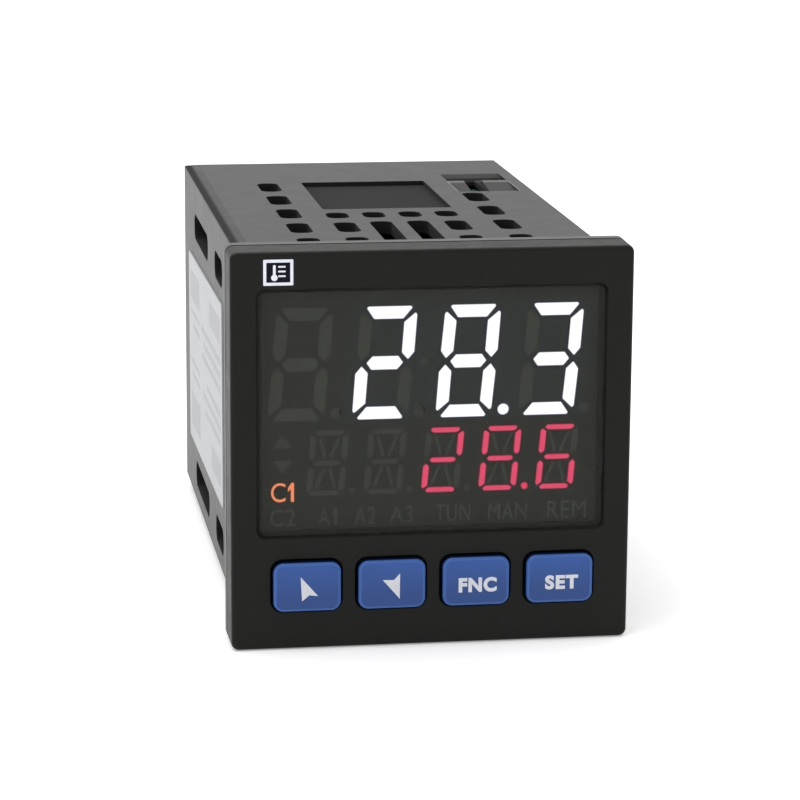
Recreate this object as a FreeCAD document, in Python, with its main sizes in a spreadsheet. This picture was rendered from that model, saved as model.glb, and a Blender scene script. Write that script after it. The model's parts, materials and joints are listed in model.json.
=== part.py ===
import FreeCAD, Part
import math
import os
import Sketcher
from FreeCAD import Placement, Rotation, Vector

# Panel-mount temperature controller with a 48 x 48 mm front.
# Row frame, millimetres: +X to the right of the face, +Y into the panel, +Z up.
# The origin is the centre of the panel cut-out, in the plane of the bezel's rear face.

doc = FreeCAD.newDocument("PanelController")
sheet = doc.addObject("Spreadsheet::Sheet", "Sizes")

CELLS = [
    # bezel
    ("bezel_side", 48.0, "outside of the square front frame"),
    ("bezel_thick", 6.4, "front frame, face to rear"),
    ("bezel_corner", 1.0, "radius of the outer corners"),
    ("bezel_edge", 0.5, "rounding of the front rim"),
    ("bezel_draft", 1.0, "draft of its sides, degrees"),
    ("lip_wide", 1.4, "rear lip of the frame, front to back"),
    ("lip_groove", 0.5, "groove ahead of the lip, front to back"),
    ("lip_deep", 0.2, "groove ahead of the lip, depth"),
    ("bezel_front", 2.0, "front wall"),
    ("bezel_hollow", 41.0, "hollow behind the front wall"),
    # display window
    ("window_wide", 41.3, "lens, across"),
    ("window_tall", 29.5, "lens, up"),
    ("window_rise", 4.54, "lens centre above the axis"),
    ("window_corner", 0.9, "lens corner radius"),
    ("window_sink", 0.3, "lens below the face"),
    ("lens_thick", 1.2, "lens"),
    ("lens_gap", 0.15, "gap around the lens"),
    ("ledge_wide", 40.1, "opening behind the lens, across"),
    ("ledge_tall", 28.6, "opening behind the lens, up"),
    # badge
    ("badge_wide", 3.5, "front badge, across"),
    ("badge_tall", 3.05, "front badge, up"),
    ("badge_thick", 0.22, "front badge"),
    ("badge_left", 18.25, "badge centre left of the axis"),
    ("badge_rise", 21.5, "badge centre above the axis"),
    # keys
    ("key_wide", 8.06, "key cap, across"),
    ("key_tall", 5.94, "key cap, up"),
    ("key_corner", 1.2, "key cap corner radius"),
    ("key_pitch", 10.11, "key to key"),
    ("key_shift", 0.2, "key row right of the axis"),
    ("key_drop", 16.12, "key row below the axis"),
    ("key_proud", 1.0, "key cap in front of the face"),
    ("key_edge", 0.45, "rounding of the cap's front rim"),
    ("key_gap", 0.2, "gap around a key cap"),
    ("key_margin", 0.7, "flange beyond the cap"),
    ("flange_thick", 0.8, "retaining flange"),
    ("flange_clear", 0.1, "flange behind the front wall"),
    ("stem_radius", 1.5, "key stem and plunger"),
    # switches
    ("switch_side", 6.0, "push switch body"),
    ("switch_high", 3.4, "push switch body height"),
    ("plunger_out", 0.7, "plunger in front of its switch"),
    ("plunger_long", 2.0, "plunger"),
    ("bore_radius", 1.8, "plunger hole"),
    ("bore_deep", 2.4, "plunger hole depth"),
    # keypad seal
    ("seal_thick", 0.7, "silicone sheet"),
    ("seal_front", 2.5, "front of the sheet ahead of the panel plane"),
    ("seal_wide", 40.4, "silicone sheet, across"),
    ("seal_tall", 8.7, "silicone sheet, up"),
    ("seal_hole", 1.9, "radius of its stem holes"),
    # display
    ("block_wide", 40.4, "light block flange, across"),
    ("block_tall", 30.0, "light block, up"),
    ("block_rear_wide", 37.4, "light block behind the flange, across"),
    ("plateau_wide", 40.0, "raised face, across"),
    ("plateau_tall", 28.5, "raised face, up"),
    ("plateau_front", 4.85, "raised face ahead of the panel plane"),
    ("flange_rear", 0.4, "rear of the flange ahead of the panel plane"),
    ("segment_deep", 2.0, "light segments"),
    ("digit_pitch", 9.95, "large digit to large digit"),
    ("digit_first", -15.48, "centre of the first large digit"),
    ("digit_rise", 10.22, "large digits above the axis"),
    ("small_pitch", 6.89, "small digit to small digit"),
    ("small_first", -12.3, "centre of the first small digit"),
    ("small_drop", 1.69, "small digits below the axis"),
    ("slant", 0.0867, "lean of the digits, across per up"),
    # boards
    ("board_thick", 1.6, "circuit boards"),
    ("display_board_wide", 37.4, "display board, across"),
    ("display_board_tall", 39.8, "display board, up"),
    ("display_board_front", 2.4, "front of the display board"),
    ("side_board_in", 15.4, "inner face of the two long boards"),
    ("side_board_tall", 41.2, "long boards, up"),
    ("side_board_start", 6.5, "front edge of the long boards"),
    ("side_board_end", 59.8, "rear edge of the long boards"),
    ("cross_board_front", 60.0, "front of the terminal board"),
    ("cross_board_wide", 40.4, "terminal board, across"),
    ("cross_board_tall", 40.8, "terminal board, up"),
    # case
    ("case_wide", 44.5, "housing, across"),
    ("case_tall", 44.8, "housing, up"),
    ("case_long", 75.6, "housing behind the bezel"),
    ("case_wall", 1.6, "housing wall"),
    ("case_corner", 0.4, "long edges of the housing"),
    ("case_rear_edge", 0.3, "rounding of the rear rim"),
    ("case_inner_corner", 0.6, "inner corner radius"),
    ("border_in", 20.2, "left border of the top, inner line from the axis"),
    ("border_fall", 0.15, "fall of that border at the outer edge"),
    ("rib_high", 1.2, "board guide ribs"),
    ("rib_wide", 1.1, "board guide ribs"),
    ("rib_clear", 0.1, "rib to board"),
    ("rib_start", 8.0, "front of the guide ribs"),
    ("rib_long", 50.0, "guide ribs"),
    # vents
    ("vent_wide", 2.8, "vent slots, across"),
    ("vent_long", 7.4, "vent slots, along the housing"),
    ("vent_round", 1.15, "vent corner radius"),
    ("vent_step", 11.2, "vent to vent along the housing"),
    ("vent_start", 8.1, "centre of the first vent"),
    ("vent_column", 13.08, "outer vent columns from the vent middle"),
    ("vent_shift", 0.37, "vent middle right of the axis"),
    ("oval_long", 4.5, "short vents, along"),
    ("oval_middle", 28.5, "short vents, centre"),
    ("oval_step", 4.67, "short vent to short vent, across"),
    ("trunk_long", 19.0, "long middle vents"),
    ("trunk_middle", 13.9, "long middle vents, centre"),
    # plate recess on top
    ("recess_wide", 16.8, "plate recess, across"),
    ("recess_long", 23.3, "plate recess, along"),
    ("recess_middle", 45.15, "plate recess, centre along"),
    ("recess_shift", 0.42, "plate recess right of the axis"),
    ("recess_deep", 0.6, "plate recess"),
    # bracket catch
    ("catch_side", 16.15, "bracket catch from the axis"),
    ("catch_wide", 8.2, "bracket catch, across"),
    ("catch_bar_front", 56.3, "bar of the catch"),
    ("catch_bar_rear", 61.9, "bar of the catch"),
    ("catch_bar_deep", 0.9, "bar of the catch"),
    ("catch_bar_bevel", 0.55, "bevel on the rear wall of the bar"),
    ("catch_ramp_front", 46.5, "foot of the ramp"),
    ("catch_ramp_rear", 55.7, "crest of the ramp"),
    ("catch_ramp_drop", 0.8, "ramp below the wall at its foot"),
    ("catch_stem_wide", 2.5, "stem slot, across"),
    ("catch_stem_front", 49.3, "stem slot, front end"),
    # side slots
    ("slot_tall", 3.5, "side slots, up"),
    ("slot_high", 16.4, "upper slots above the axis"),
    ("slot_low", 18.15, "lower slots below the axis"),
    ("slot_near_front", 20.2, "front slots"),
    ("slot_near_rear", 30.3, "front slots"),
    ("slot_far_front", 39.6, "rear slots"),
    ("slot_far_rear", 59.6, "rear slots"),
    ("slot_round", 1.5, "side slot corner radius"),
    # latch arms of the bezel
    ("arm_in", 19.9, "inner face of an arm"),
    ("arm_out", 21.2, "outer face of an arm"),
    ("arm_hook", 22.0, "tip of its hook"),
    ("arm_tall", 2.4, "latch arms, up"),
    ("arm_long", 25.0, "latch arms behind the bezel"),
    ("notch_out", 21.35, "arm notch in the housing wall"),
    ("notch_tall", 2.8, "arm notch, up"),
    # gasket
    ("gasket_thick", 0.8, "panel gasket"),
    ("gasket_side", 47.4, "panel gasket, outside"),
    ("gasket_gap", 0.2, "gasket to housing"),
    # label
    ("label_thick", 0.2, "rating plate"),
    ("label_front", 19.1, "front edge of the plate"),
    ("label_long", 47.6, "rating plate, along"),
    ("label_tall", 26.0, "rating plate, up"),
    ("label_drop", 0.7, "its centre below the axis"),
    ("label_turn", 1.4, "lean of the plate, front end up, degrees"),
    ("label_round", 0.9, "corner radius of the plate"),
    # rear
    ("cover_front", 71.6, "rear cover, inner face"),
    ("cover_thick", 3.6, "rear cover"),
    ("cover_gap", 0.15, "rear cover to housing"),
    ("cover_hole_wide", 10.0, "terminal windows, across"),
    ("cover_hole_tall", 32.4, "terminal windows, up"),
    ("pole_pitch", 3.81, "terminal to terminal"),
    ("plug_step", 13.6, "terminal column to column"),
    ("socket_wide", 9.4, "terminal socket, across"),
    ("socket_tall", 33.0, "terminal socket, up"),
    ("socket_rear", 71.0, "mouth of the socket"),
    ("socket_floor", 1.4, "floor of the socket"),
    ("socket_bore_wide", 7.8, "inside of the socket, across"),
    ("socket_bore_tall", 31.0, "inside of the socket, up"),
    ("pin_side", 0.8, "socket pins, square"),
    ("pin_end", 69.5, "tip of the socket pins"),
    ("plug_wide", 9.4, "terminal plug, across"),
    ("plug_tall", 31.8, "terminal plug, up"),
    ("plug_front", 64.5, "front of the plug's tongue"),
    ("plug_shoulder", 71.2, "shoulder of the plug"),
    ("plug_rear", 81.0, "rear face of the plug"),
    ("tongue_wide", 7.4, "plug tongue, across"),
    ("tongue_tall", 30.4, "plug tongue, up"),
    ("wire_hole_front", 76.2, "wire chamber"),
    ("wire_hole_rear", 79.2, "wire chamber"),
    ("wire_hole_tall", 2.6, "wire chamber, up"),
    ("wire_hole_deep", 8.0, "wire chamber, across"),
    ("screw_hole", 1.5, "screw bore radius"),
    ("screw_head", 1.35, "screw head radius"),
    ("screw_shank", 0.8, "screw shank radius"),
    ("screw_slot", 0.45, "driver slot"),
]

for row, (alias, value, note) in enumerate(CELLS, start=1):
    sheet.set("A%d" % row, note)
    sheet.set("B%d" % row, "%g" % value)
    sheet.setAlias("B%d" % row, alias)
doc.recompute()


class Q:
    """A number together with the spreadsheet expression it comes from."""

    def __init__(self, value, text):
        self.v = float(value)
        self.t = text

    @staticmethod
    def of(x):
        if isinstance(x, Q):
            return x
        x = float(x)
        return Q(x, ("%g" % x) if x >= 0 else ("(%g)" % x))

    def __add__(self, o):
        o = Q.of(o)
        return Q(self.v + o.v, "(%s + %s)" % (self.t, o.t))

    def __radd__(self, o):
        return Q.of(o) + self

    def __sub__(self, o):
        o = Q.of(o)
        return Q(self.v - o.v, "(%s - %s)" % (self.t, o.t))

    def __rsub__(self, o):
        return Q.of(o) - self

    def __mul__(self, o):
        o = Q.of(o)
        return Q(self.v * o.v, "(%s * %s)" % (self.t, o.t))

    def __rmul__(self, o):
        return Q.of(o) * self

    def __truediv__(self, o):
        o = Q.of(o)
        return Q(self.v / o.v, "(%s / %s)" % (self.t, o.t))

    def __neg__(self):
        return Q(-self.v, "(0 - %s)" % self.t)


def cell(alias):
    return Q(float(sheet.get(alias)), "Sizes." + alias)


D = {alias: cell(alias) for alias, _, _ in CELLS}
nodes = []  # every sub-part, in the order it is made


# ---------------------------------------------------------------- helpers


def tie(obj, prop, q):
    q = Q.of(q)
    obj.setExpression(prop, q.t)


def new_body(label):
    body = doc.addObject("PartDesign::Body", "Body_" + label)
    body.Label = label
    nodes.append(body)
    return body


def origin_part(body, role):
    for f in body.Origin.OriginFeatures:
        if f.Role == role:
            return f
    raise RuntimeError(role)


def new_sketch(body, role, lift=0.0):
    """A sketch on one of the body's own origin planes, lifted along its normal.
    XZ: local x is +X, local y is +Z, normal is -Y. YZ: +Y, +Z, normal +X."""
    sk = body.newObject("Sketcher::SketchObject", "Sketch")
    sk.AttachmentSupport = [(origin_part(body, role), "")]
    sk.MapMode = "FlatFace"
    lift = Q.of(lift)
    sk.AttachmentOffset = Placement(Vector(0, 0, lift.v), Rotation())
    tie(sk, "AttachmentOffset.Base.z", lift)
    return sk


def at_y(body, y):
    """A sketch in the plane Y = y."""
    return new_sketch(body, "XZ_Plane", -Q.of(y))


def hold(sk, point, axis, q):
    """Fix one coordinate of a point: point is (geometry, vertex)."""
    q = Q.of(q)
    kind = "DistanceX" if axis == "x" else "DistanceY"
    n = sk.addConstraint(Sketcher.Constraint(kind, -1, 1, point[0], point[1], q.v))
    sk.setExpression("Constraints[%d]" % n, q.t)


def draw_poly(sk, pts):
    """A closed polygon; every corner is held by its two coordinates."""
    pts = [(Q.of(x), Q.of(y)) for x, y in pts]
    first = None
    count = len(pts)
    for i in range(count):
        (x0, y0), (x1, y1) = pts[i], pts[(i + 1) % count]
        g = sk.addGeometry(
            Part.LineSegment(Vector(x0.v, y0.v, 0), Vector(x1.v, y1.v, 0)), False
        )
        first = g if first is None else first
    for i in range(count):
        sk.addConstraint(
            Sketcher.Constraint("Coincident", first + i, 2, first + (i + 1) % count, 1)
        )
    for i, (x, y) in enumerate(pts):
        hold(sk, (first + i, 1), "x", x)
        hold(sk, (first + i, 1), "y", y)
    return first


def draw_rect(sk, cx, cy, w, h):
    cx, cy, w, h = Q.of(cx), Q.of(cy), Q.of(w), Q.of(h)
    x0, x1 = cx - w / 2, cx + w / 2
    y0, y1 = cy - h / 2, cy + h / 2
    return draw_poly(sk, [(x0, y0), (x1, y0), (x1, y1), (x0, y1)])


def draw_round_rect(sk, cx, cy, w, h, r):
    """A rectangle with four equal corner arcs, fully held."""
    cx, cy, w, h, r = (Q.of(q) for q in (cx, cy, w, h, r))
    x0, x1, y0, y1 = cx.v - w.v / 2, cx.v + w.v / 2, cy.v - h.v / 2, cy.v + h.v / 2
    R = r.v
    lines = [
        ((x0 + R, y0), (x1 - R, y0)),
        ((x1, y0 + R), (x1, y1 - R)),
        ((x1 - R, y1), (x0 + R, y1)),
        ((x0, y1 - R), (x0, y0 + R)),
    ]
    arcs = [
        ((x1 - R, y0 + R), -90, 0),
        ((x1 - R, y1 - R), 0, 90),
        ((x0 + R, y1 - R), 90, 180),
        ((x0 + R, y0 + R), 180, 270),
    ]
    g = []
    for i in range(4):
        (ax, ay), (bx, by) = lines[i]
        g.append(sk.addGeometry(Part.LineSegment(Vector(ax, ay, 0), Vector(bx, by, 0)), False))
        (mx, my), a0, a1 = arcs[i]
        circle = Part.Circle(Vector(mx, my, 0), Vector(0, 0, 1), R)
        g.append(
            sk.addGeometry(
                Part.ArcOfCircle(circle, math.radians(a0), math.radians(a1)), False
            )
        )
    for i in range(0, 8, 2):
        line, arc, after = g[i], g[i + 1], g[(i + 2) % 8]
        sk.addConstraint(Sketcher.Constraint("Tangent", line, 2, arc, 1))
        sk.addConstraint(Sketcher.Constraint("Tangent", arc, 2, after, 1))
    sk.addConstraint(Sketcher.Constraint("Horizontal", g[0]))
    sk.addConstraint(Sketcher.Constraint("Vertical", g[2]))
    sk.addConstraint(Sketcher.Constraint("Horizontal", g[4]))
    for k in (3, 5, 7):
        sk.addConstraint(Sketcher.Constraint("Equal", g[1], g[k]))
    n = sk.addConstraint(Sketcher.Constraint("Radius", g[1], R))
    sk.setExpression("Constraints[%d]" % n, r.t)
    hold(sk, (g[6], 1), "x", cx - w / 2)
    hold(sk, (g[2], 1), "x", cx + w / 2)
    hold(sk, (g[0], 1), "y", cy - h / 2)
    hold(sk, (g[4], 1), "y", cy + h / 2)


def draw_circle(sk, cx, cy, r):
    cx, cy, r = Q.of(cx), Q.of(cy), Q.of(r)
    g = sk.addGeometry(Part.Circle(Vector(cx.v, cy.v, 0), Vector(0, 0, 1), r.v), False)
    n = sk.addConstraint(Sketcher.Constraint("Radius", g, r.v))
    sk.setExpression("Constraints[%d]" % n, r.t)
    hold(sk, (g, 3), "x", cx)
    hold(sk, (g, 3), "y", cy)


def pad(body, sk, length, backward=False):
    """Add material along the sketch normal, or against it."""
    f = body.newObject("PartDesign::Pad", "Pad")
    f.Profile = sk
    f.Length = Q.of(length).v
    tie(f, "Length", length)
    f.Reversed = backward
    body.Tip = f
    return f


def pocket(body, sk, length=None, backward=False, both=False):
    """Cut against the sketch normal; backward cuts along it; no length goes through."""
    f = body.newObject("PartDesign::Pocket", "Pocket")
    f.Profile = sk
    f.Reversed = backward
    if both:
        f.SideType = "Symmetric"
    if length is None:
        f.Type = "ThroughAll"
    else:
        f.Length = Q.of(length).v
        tie(f, "Length", length)
    body.Tip = f
    return f


def pattern(body, originals, role, step, count, backward=False):
    f = body.newObject("PartDesign::LinearPattern", "Pattern")
    f.Originals = originals
    f.Direction = (origin_part(body, role), [""])
    f.Mode = "Spacing"
    f.Offset = Q.of(step).v
    tie(f, "Offset", step)
    f.Occurrences = count
    f.Reversed = backward
    body.Tip = f
    return f


def edges_where(feature, test):
    doc.recompute()
    return ["Edge%d" % (i + 1) for i, e in enumerate(feature.Shape.Edges) if test(e)]


def all_at(e, axis, value, tol=1e-4):
    box = e.BoundBox
    lo, hi = {"x": (box.XMin, box.XMax), "y": (box.YMin, box.YMax), "z": (box.ZMin, box.ZMax)}[axis]
    return abs(lo - value) < tol and abs(hi - value) < tol


def fillet(body, feature, names, radius):
    f = body.newObject("PartDesign::Fillet", "Fillet")
    f.Base = (feature, names)
    f.Radius = Q.of(radius).v
    tie(f, "Radius", radius)
    body.Tip = f
    return f


def chamfer(body, feature, names, size):
    f = body.newObject("PartDesign::Chamfer", "Chamfer")
    f.Base = (feature, names)
    f.Size = Q.of(size).v
    tie(f, "Size", size)
    body.Tip = f
    return f


def box(name, x0, x1, y0, y1, z0, z1):
    """A Part box between two corners, tied to the sheet."""
    x0, x1, y0, y1, z0, z1 = (Q.of(q) for q in (x0, x1, y0, y1, z0, z1))
    b = doc.addObject("Part::Box", name)
    for prop, q in (
        ("Length", x1 - x0),
        ("Width", y1 - y0),
        ("Height", z1 - z0),
        ("Placement.Base.x", x0),
        ("Placement.Base.y", y0),
        ("Placement.Base.z", z0),
    ):
        tie(b, prop, q)
    return b


def rod(name, along, x, y, z, radius, length):
    """A Part cylinder from (x, y, z) along +X, +Y or +Z."""
    c = doc.addObject("Part::Cylinder", name)
    turn = {
        "x": Rotation(Vector(0, 1, 0), 90),
        "y": Rotation(Vector(1, 0, 0), -90),
        "z": Rotation(),
    }[along]
    c.Placement = Placement(Vector(Q.of(x).v, Q.of(y).v, Q.of(z).v), turn)
    for prop, q in (
        ("Radius", radius),
        ("Height", length),
        ("Placement.Base.x", x),
        ("Placement.Base.y", y),
        ("Placement.Base.z", z),
    ):
        tie(c, prop, q)
    return c


def cut(name, base, tool):
    c = doc.addObject("Part::Cut", name)
    c.Base = base
    c.Tool = tool
    return c


def rounded(name, base, radius, test=None):
    """Part::Fillet on the edges that pass the test."""
    doc.recompute()
    f = doc.addObject("Part::Fillet", name)
    f.Base = base
    r = Q.of(radius).v
    f.Edges = [
        (i + 1, r, r) for i, e in enumerate(base.Shape.Edges) if test is None or test(e)
    ]
    return f


def group(label, parts):
    c = doc.addObject("Part::Compound", "Group_" + label)
    c.Links = parts
    c.Label = label
    nodes.append(c)
    return c


def name_node(obj, label):
    obj.Label = label
    nodes.append(obj)
    return obj


def shape_node(label, shape):
    """A sub-part whose shape is worked out from the sheet in code."""
    f = doc.addObject("Part::Feature", "Shape_" + label)
    f.Shape = shape
    f.Placement = Placement()
    f.Label = label
    nodes.append(f)
    return f


# ---------------------------------------------------------------- front frame

face_y = -D["bezel_thick"]  # the face of the frame
wall_y = face_y + D["bezel_front"]  # inner side of its front wall
lens_front = face_y + D["window_sink"]
lens_rear = lens_front + D["lens_thick"]

bezel = new_body("front_bezel")
sk = at_y(bezel, 0)
draw_round_rect(sk, 0, 0, D["bezel_side"], D["bezel_side"], D["bezel_corner"])
blank = pad(bezel, sk, D["bezel_thick"])
blank.TaperAngle = -D["bezel_draft"].v
tie(blank, "TaperAngle", -D["bezel_draft"])
rim = edges_where(blank, lambda e: all_at(e, "y", face_y.v))
outer = fillet(bezel, blank, rim, D["bezel_edge"])

# groove around the sides, which leaves a narrow lip at the rear
sk = at_y(bezel, -(D["lip_wide"] + D["lip_groove"]))
draw_rect(sk, 0, 0, D["bezel_side"] + 1, D["bezel_side"] + 1)
draw_round_rect(
    sk,
    0,
    0,
    D["bezel_side"] - 2 * D["lip_deep"],
    D["bezel_side"] - 2 * D["lip_deep"],
    D["bezel_corner"] - D["lip_deep"],
)
pocket(bezel, sk, D["lip_groove"])

# hollow behind the front wall
sk = at_y(bezel, 0)
draw_round_rect(sk, 0, 0, D["bezel_hollow"], D["bezel_hollow"], 1.0)
pocket(bezel, sk, D["bezel_thick"] - D["bezel_front"], backward=True)

# seat of the lens, and the opening behind it
sk = at_y(bezel, face_y)
draw_round_rect(
    sk,
    0,
    D["window_rise"],
    D["window_wide"] + 2 * D["lens_gap"],
    D["window_tall"] + 2 * D["lens_gap"],
    D["window_corner"] + D["lens_gap"],
)
seat = pocket(bezel, sk, D["window_sink"] + D["lens_thick"])
sk = at_y(bezel, lens_rear)
draw_round_rect(sk, 0, D["window_rise"], D["ledge_wide"], D["ledge_tall"], 0.1)
pocket(bezel, sk, D["bezel_front"])

# four key openings
sk = at_y(bezel, face_y)
draw_round_rect(
    sk,
    -1.5 * D["key_pitch"] + D["key_shift"],
    -D["key_drop"],
    D["key_wide"] + 2 * D["key_gap"],
    D["key_tall"] + 2 * D["key_gap"],
    D["key_corner"] + D["key_gap"],
)
opening = pocket(bezel, sk, D["bezel_front"] + 0.5)
pattern(bezel, [opening], "X_Axis", D["key_pitch"], 4)

# seat of the badge
sk = at_y(bezel, face_y)
draw_rect(sk, -D["badge_left"], D["badge_rise"], D["badge_wide"] + 0.1, D["badge_tall"] + 0.1)
pocket(bezel, sk, D["badge_thick"] - 0.02)

# two pairs of latch arms that run inside the housing and hook into its front slots
for level in (D["slot_high"], -D["slot_low"]):
    sk = new_sketch(bezel, "XY_Plane", level - D["arm_tall"] / 2)
    for side in (1, -1):
        draw_poly(
            sk,
            [
                (side * D["arm_in"], -0.3),
                (side * D["arm_out"], -0.3),
                (side * D["arm_out"], D["slot_near_front"] + 0.6),
                (side * D["arm_hook"], D["slot_near_front"] + 0.7),
                (side * D["arm_hook"], D["slot_near_front"] + 1.7),
                (side * D["arm_out"], D["arm_long"]),
                (side * D["arm_in"], D["arm_long"]),
            ],
        )
    last = pad(bezel, sk, D["arm_tall"])

# a fine break on the rims of the window seat and the key openings
def front_inner_edge(e):
    if not all_at(e, "y", face_y.v):
        return False
    c = e.BoundBox.Center
    near_window = abs(c.x) < 21.2 and -10.7 < c.z < 19.6
    near_keys = -19.6 < c.z < -12.0 and abs(c.x) < 20.0
    return near_window or near_keys


chamfer(bezel, last, edges_where(last, front_inner_edge), 0.12)

# ---------------------------------------------------------------- lens and badge

lens = new_body("display_window")
sk = at_y(lens, lens_front)
draw_round_rect(sk, 0, D["window_rise"], D["window_wide"], D["window_tall"], D["window_corner"])
slab = pad(lens, sk, D["lens_thick"], backward=True)
chamfer(lens, slab, edges_where(slab, lambda e: all_at(e, "y", lens_front.v)), 0.15)

badge = new_body("front_badge")
sk = at_y(badge, face_y - 0.02)
draw_rect(sk, -D["badge_left"], D["badge_rise"], D["badge_wide"], D["badge_tall"])
pad(badge, sk, D["badge_thick"], backward=True)

# ---------------------------------------------------------------- keys

flange_front = wall_y + D["flange_clear"]
flange_back = flange_front + D["flange_thick"]
board_front = D["display_board_front"]
switch_front = board_front - D["switch_high"]
plunger_front = switch_front - D["plunger_out"]
key_front = face_y - D["key_proud"]

KEYS = [
    ("key_up", "up_plunger", -1.5),
    ("key_down", "down_plunger", -0.5),
    ("key_function", "function_plunger", 0.5),
    ("key_set", "set_plunger", 1.5),
]

for label, plunger_label, place in KEYS:
    key = new_body(label)
    sk = at_y(key, flange_back)
    draw_round_rect(sk, 0, 0, D["key_wide"], D["key_tall"], D["key_corner"])
    cap = pad(key, sk, flange_back - key_front)
    rim = edges_where(cap, lambda e: all_at(e, "y", key_front.v))
    fillet(key, cap, rim, D["key_edge"])
    # retaining flange behind the front wall, and the stem that presses the switch
    sk = at_y(key, flange_front)
    draw_round_rect(
        sk,
        0,
        0,
        D["key_wide"] + 2 * D["key_margin"],
        D["key_tall"] + 2 * D["key_margin"],
        D["key_corner"],
    )
    pad(key, sk, D["flange_thick"], backward=True)
    sk = at_y(key, flange_back)
    draw_circle(sk, 0, 0, D["stem_radius"])
    pad(key, sk, plunger_front - flange_back, backward=True)
    tie(key, "Placement.Base.x", place * D["key_pitch"] + D["key_shift"])
    tie(key, "Placement.Base.z", -D["key_drop"])
    name_node(
        rod(
            "Rod_" + plunger_label,
            "y",
            place * D["key_pitch"] + D["key_shift"],
            plunger_front,
            -D["key_drop"],
            D["stem_radius"],
            D["plunger_long"],
        ),
        plunger_label,
    )

# push switches, four alike, on the display board
switches = new_body("key_switches")
sk = at_y(switches, board_front)
draw_rect(sk, -1.5 * D["key_pitch"] + D["key_shift"], -D["key_drop"], D["switch_side"], D["switch_side"])
one = pad(switches, sk, D["switch_high"])
sk = at_y(switches, switch_front)
draw_circle(sk, -1.5 * D["key_pitch"] + D["key_shift"], -D["key_drop"], D["bore_radius"])
hole = pocket(switches, sk, D["bore_deep"])
pattern(switches, [one, hole], "X_Axis", D["key_pitch"], 4)

# silicone sheet around the key stems
seal = new_body("keypad_seal")
sk = at_y(seal, -D["seal_front"])
draw_round_rect(sk, 0, -D["key_drop"], D["seal_wide"], D["seal_tall"], 0.8)
for place in (-1.5, -0.5, 0.5, 1.5):
    draw_circle(sk, place * D["key_pitch"] + D["key_shift"], -D["key_drop"], D["seal_hole"])
pad(seal, sk, D["seal_thick"], backward=True)

# ---------------------------------------------------------------- display block


def lean(points, cx, cz):
    """Unslanted points about a digit's middle, leaned and put in place."""
    k = D["slant"].v
    return [(cx + x + k * z, cz + z) for x, z in points]


def mirror_z(points):
    return [(x, -z) for x, z in reversed(points)]


def mirror_x(points):
    return [(-x, z) for x, z in reversed(points)]


# large digit, about its middle: seven mitred bars
TOP = [(-2.74, 6.55), (-2.52, 6.78), (2.52, 6.78), (2.74, 6.55), (1.74, 5.22), (-1.74, 5.22)]
UPPER_RIGHT = [(3.12, 6.0), (3.36, 5.72), (3.42, 1.25), (2.72, 0.32), (1.88, 1.2), (1.84, 4.85)]
MIDDLE = [(-2.2, 0.0), (-1.55, 0.83), (1.55, 0.83), (2.2, 0.0), (1.55, -0.83), (-1.55, -0.83)]
BIG = [
    TOP,
    UPPER_RIGHT,
    mirror_z(UPPER_RIGHT),
    mirror_z(TOP),
    mirror_x(mirror_z(UPPER_RIGHT)),
    mirror_x(UPPER_RIGHT),
    MIDDLE,
]
# small digit: seven bars and four diagonals
S_TOP = [(-1.78, 3.6), (-1.6, 3.95), (1.6, 3.95), (1.78, 3.6), (1.4, 3.3), (-1.4, 3.3)]
S_RIGHT = [(2.1, 3.5), (2.3, 3.2), (2.3, 0.75), (1.95, 0.4), (1.55, 0.8), (1.55, 3.1)]
S_MIDDLE = [(-1.62, 0.0), (-1.3, 0.32), (1.3, 0.32), (1.62, 0.0), (1.3, -0.32), (-1.3, -0.32)]
S_DIAGONAL = [(0.22, 0.62), (0.5, 0.62), (1.22, 2.75), (1.22, 3.05), (0.94, 3.05), (0.22, 0.95)]
SMALL = [
    S_TOP,
    S_RIGHT,
    mirror_z(S_RIGHT),
    mirror_z(S_TOP),
    mirror_x(mirror_z(S_RIGHT)),
    mirror_x(S_RIGHT),
    S_MIDDLE,
    S_DIAGONAL,
    mirror_x(S_DIAGONAL),
    mirror_z(S_DIAGONAL),
    mirror_x(mirror_z(S_DIAGONAL)),
]

plateau_y = -D["plateau_front"].v
seg_deep = D["segment_deep"].v


def prism(points):
    ring = [Vector(x, plateau_y, z) for x, z in points]
    face = Part.Face(Part.makePolygon(ring + [ring[0]]))
    return face.extrude(Vector(0, seg_deep, 0))


def dot(x, z, radius):
    return Part.makeCylinder(radius, seg_deep, Vector(x, plateau_y, z), Vector(0, 1, 0))


upper, lower, legends = [], [], []
for i in range(4):
    cx = D["digit_first"].v + i * D["digit_pitch"].v
    cz = D["digit_rise"].v
    upper += [prism(lean(p, cx, cz)) for p in BIG]
    if i < 3:
        upper.append(dot(cx + 4.77 - 5.95 * D["slant"].v, cz - 5.95, 0.7))
    if i == 1:
        upper.append(dot(cx + 4.7, cz + 0.05, 0.5))
for i in range(5):
    cx = D["small_first"].v + i * D["small_pitch"].v
    cz = -D["small_drop"].v
    lower += [prism(lean(p, cx, cz)) for p in SMALL]
    if i < 4:
        lower.append(dot(cx + 3.3 - 3.5 * D["slant"].v, cz - 3.5, 0.42))
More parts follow.
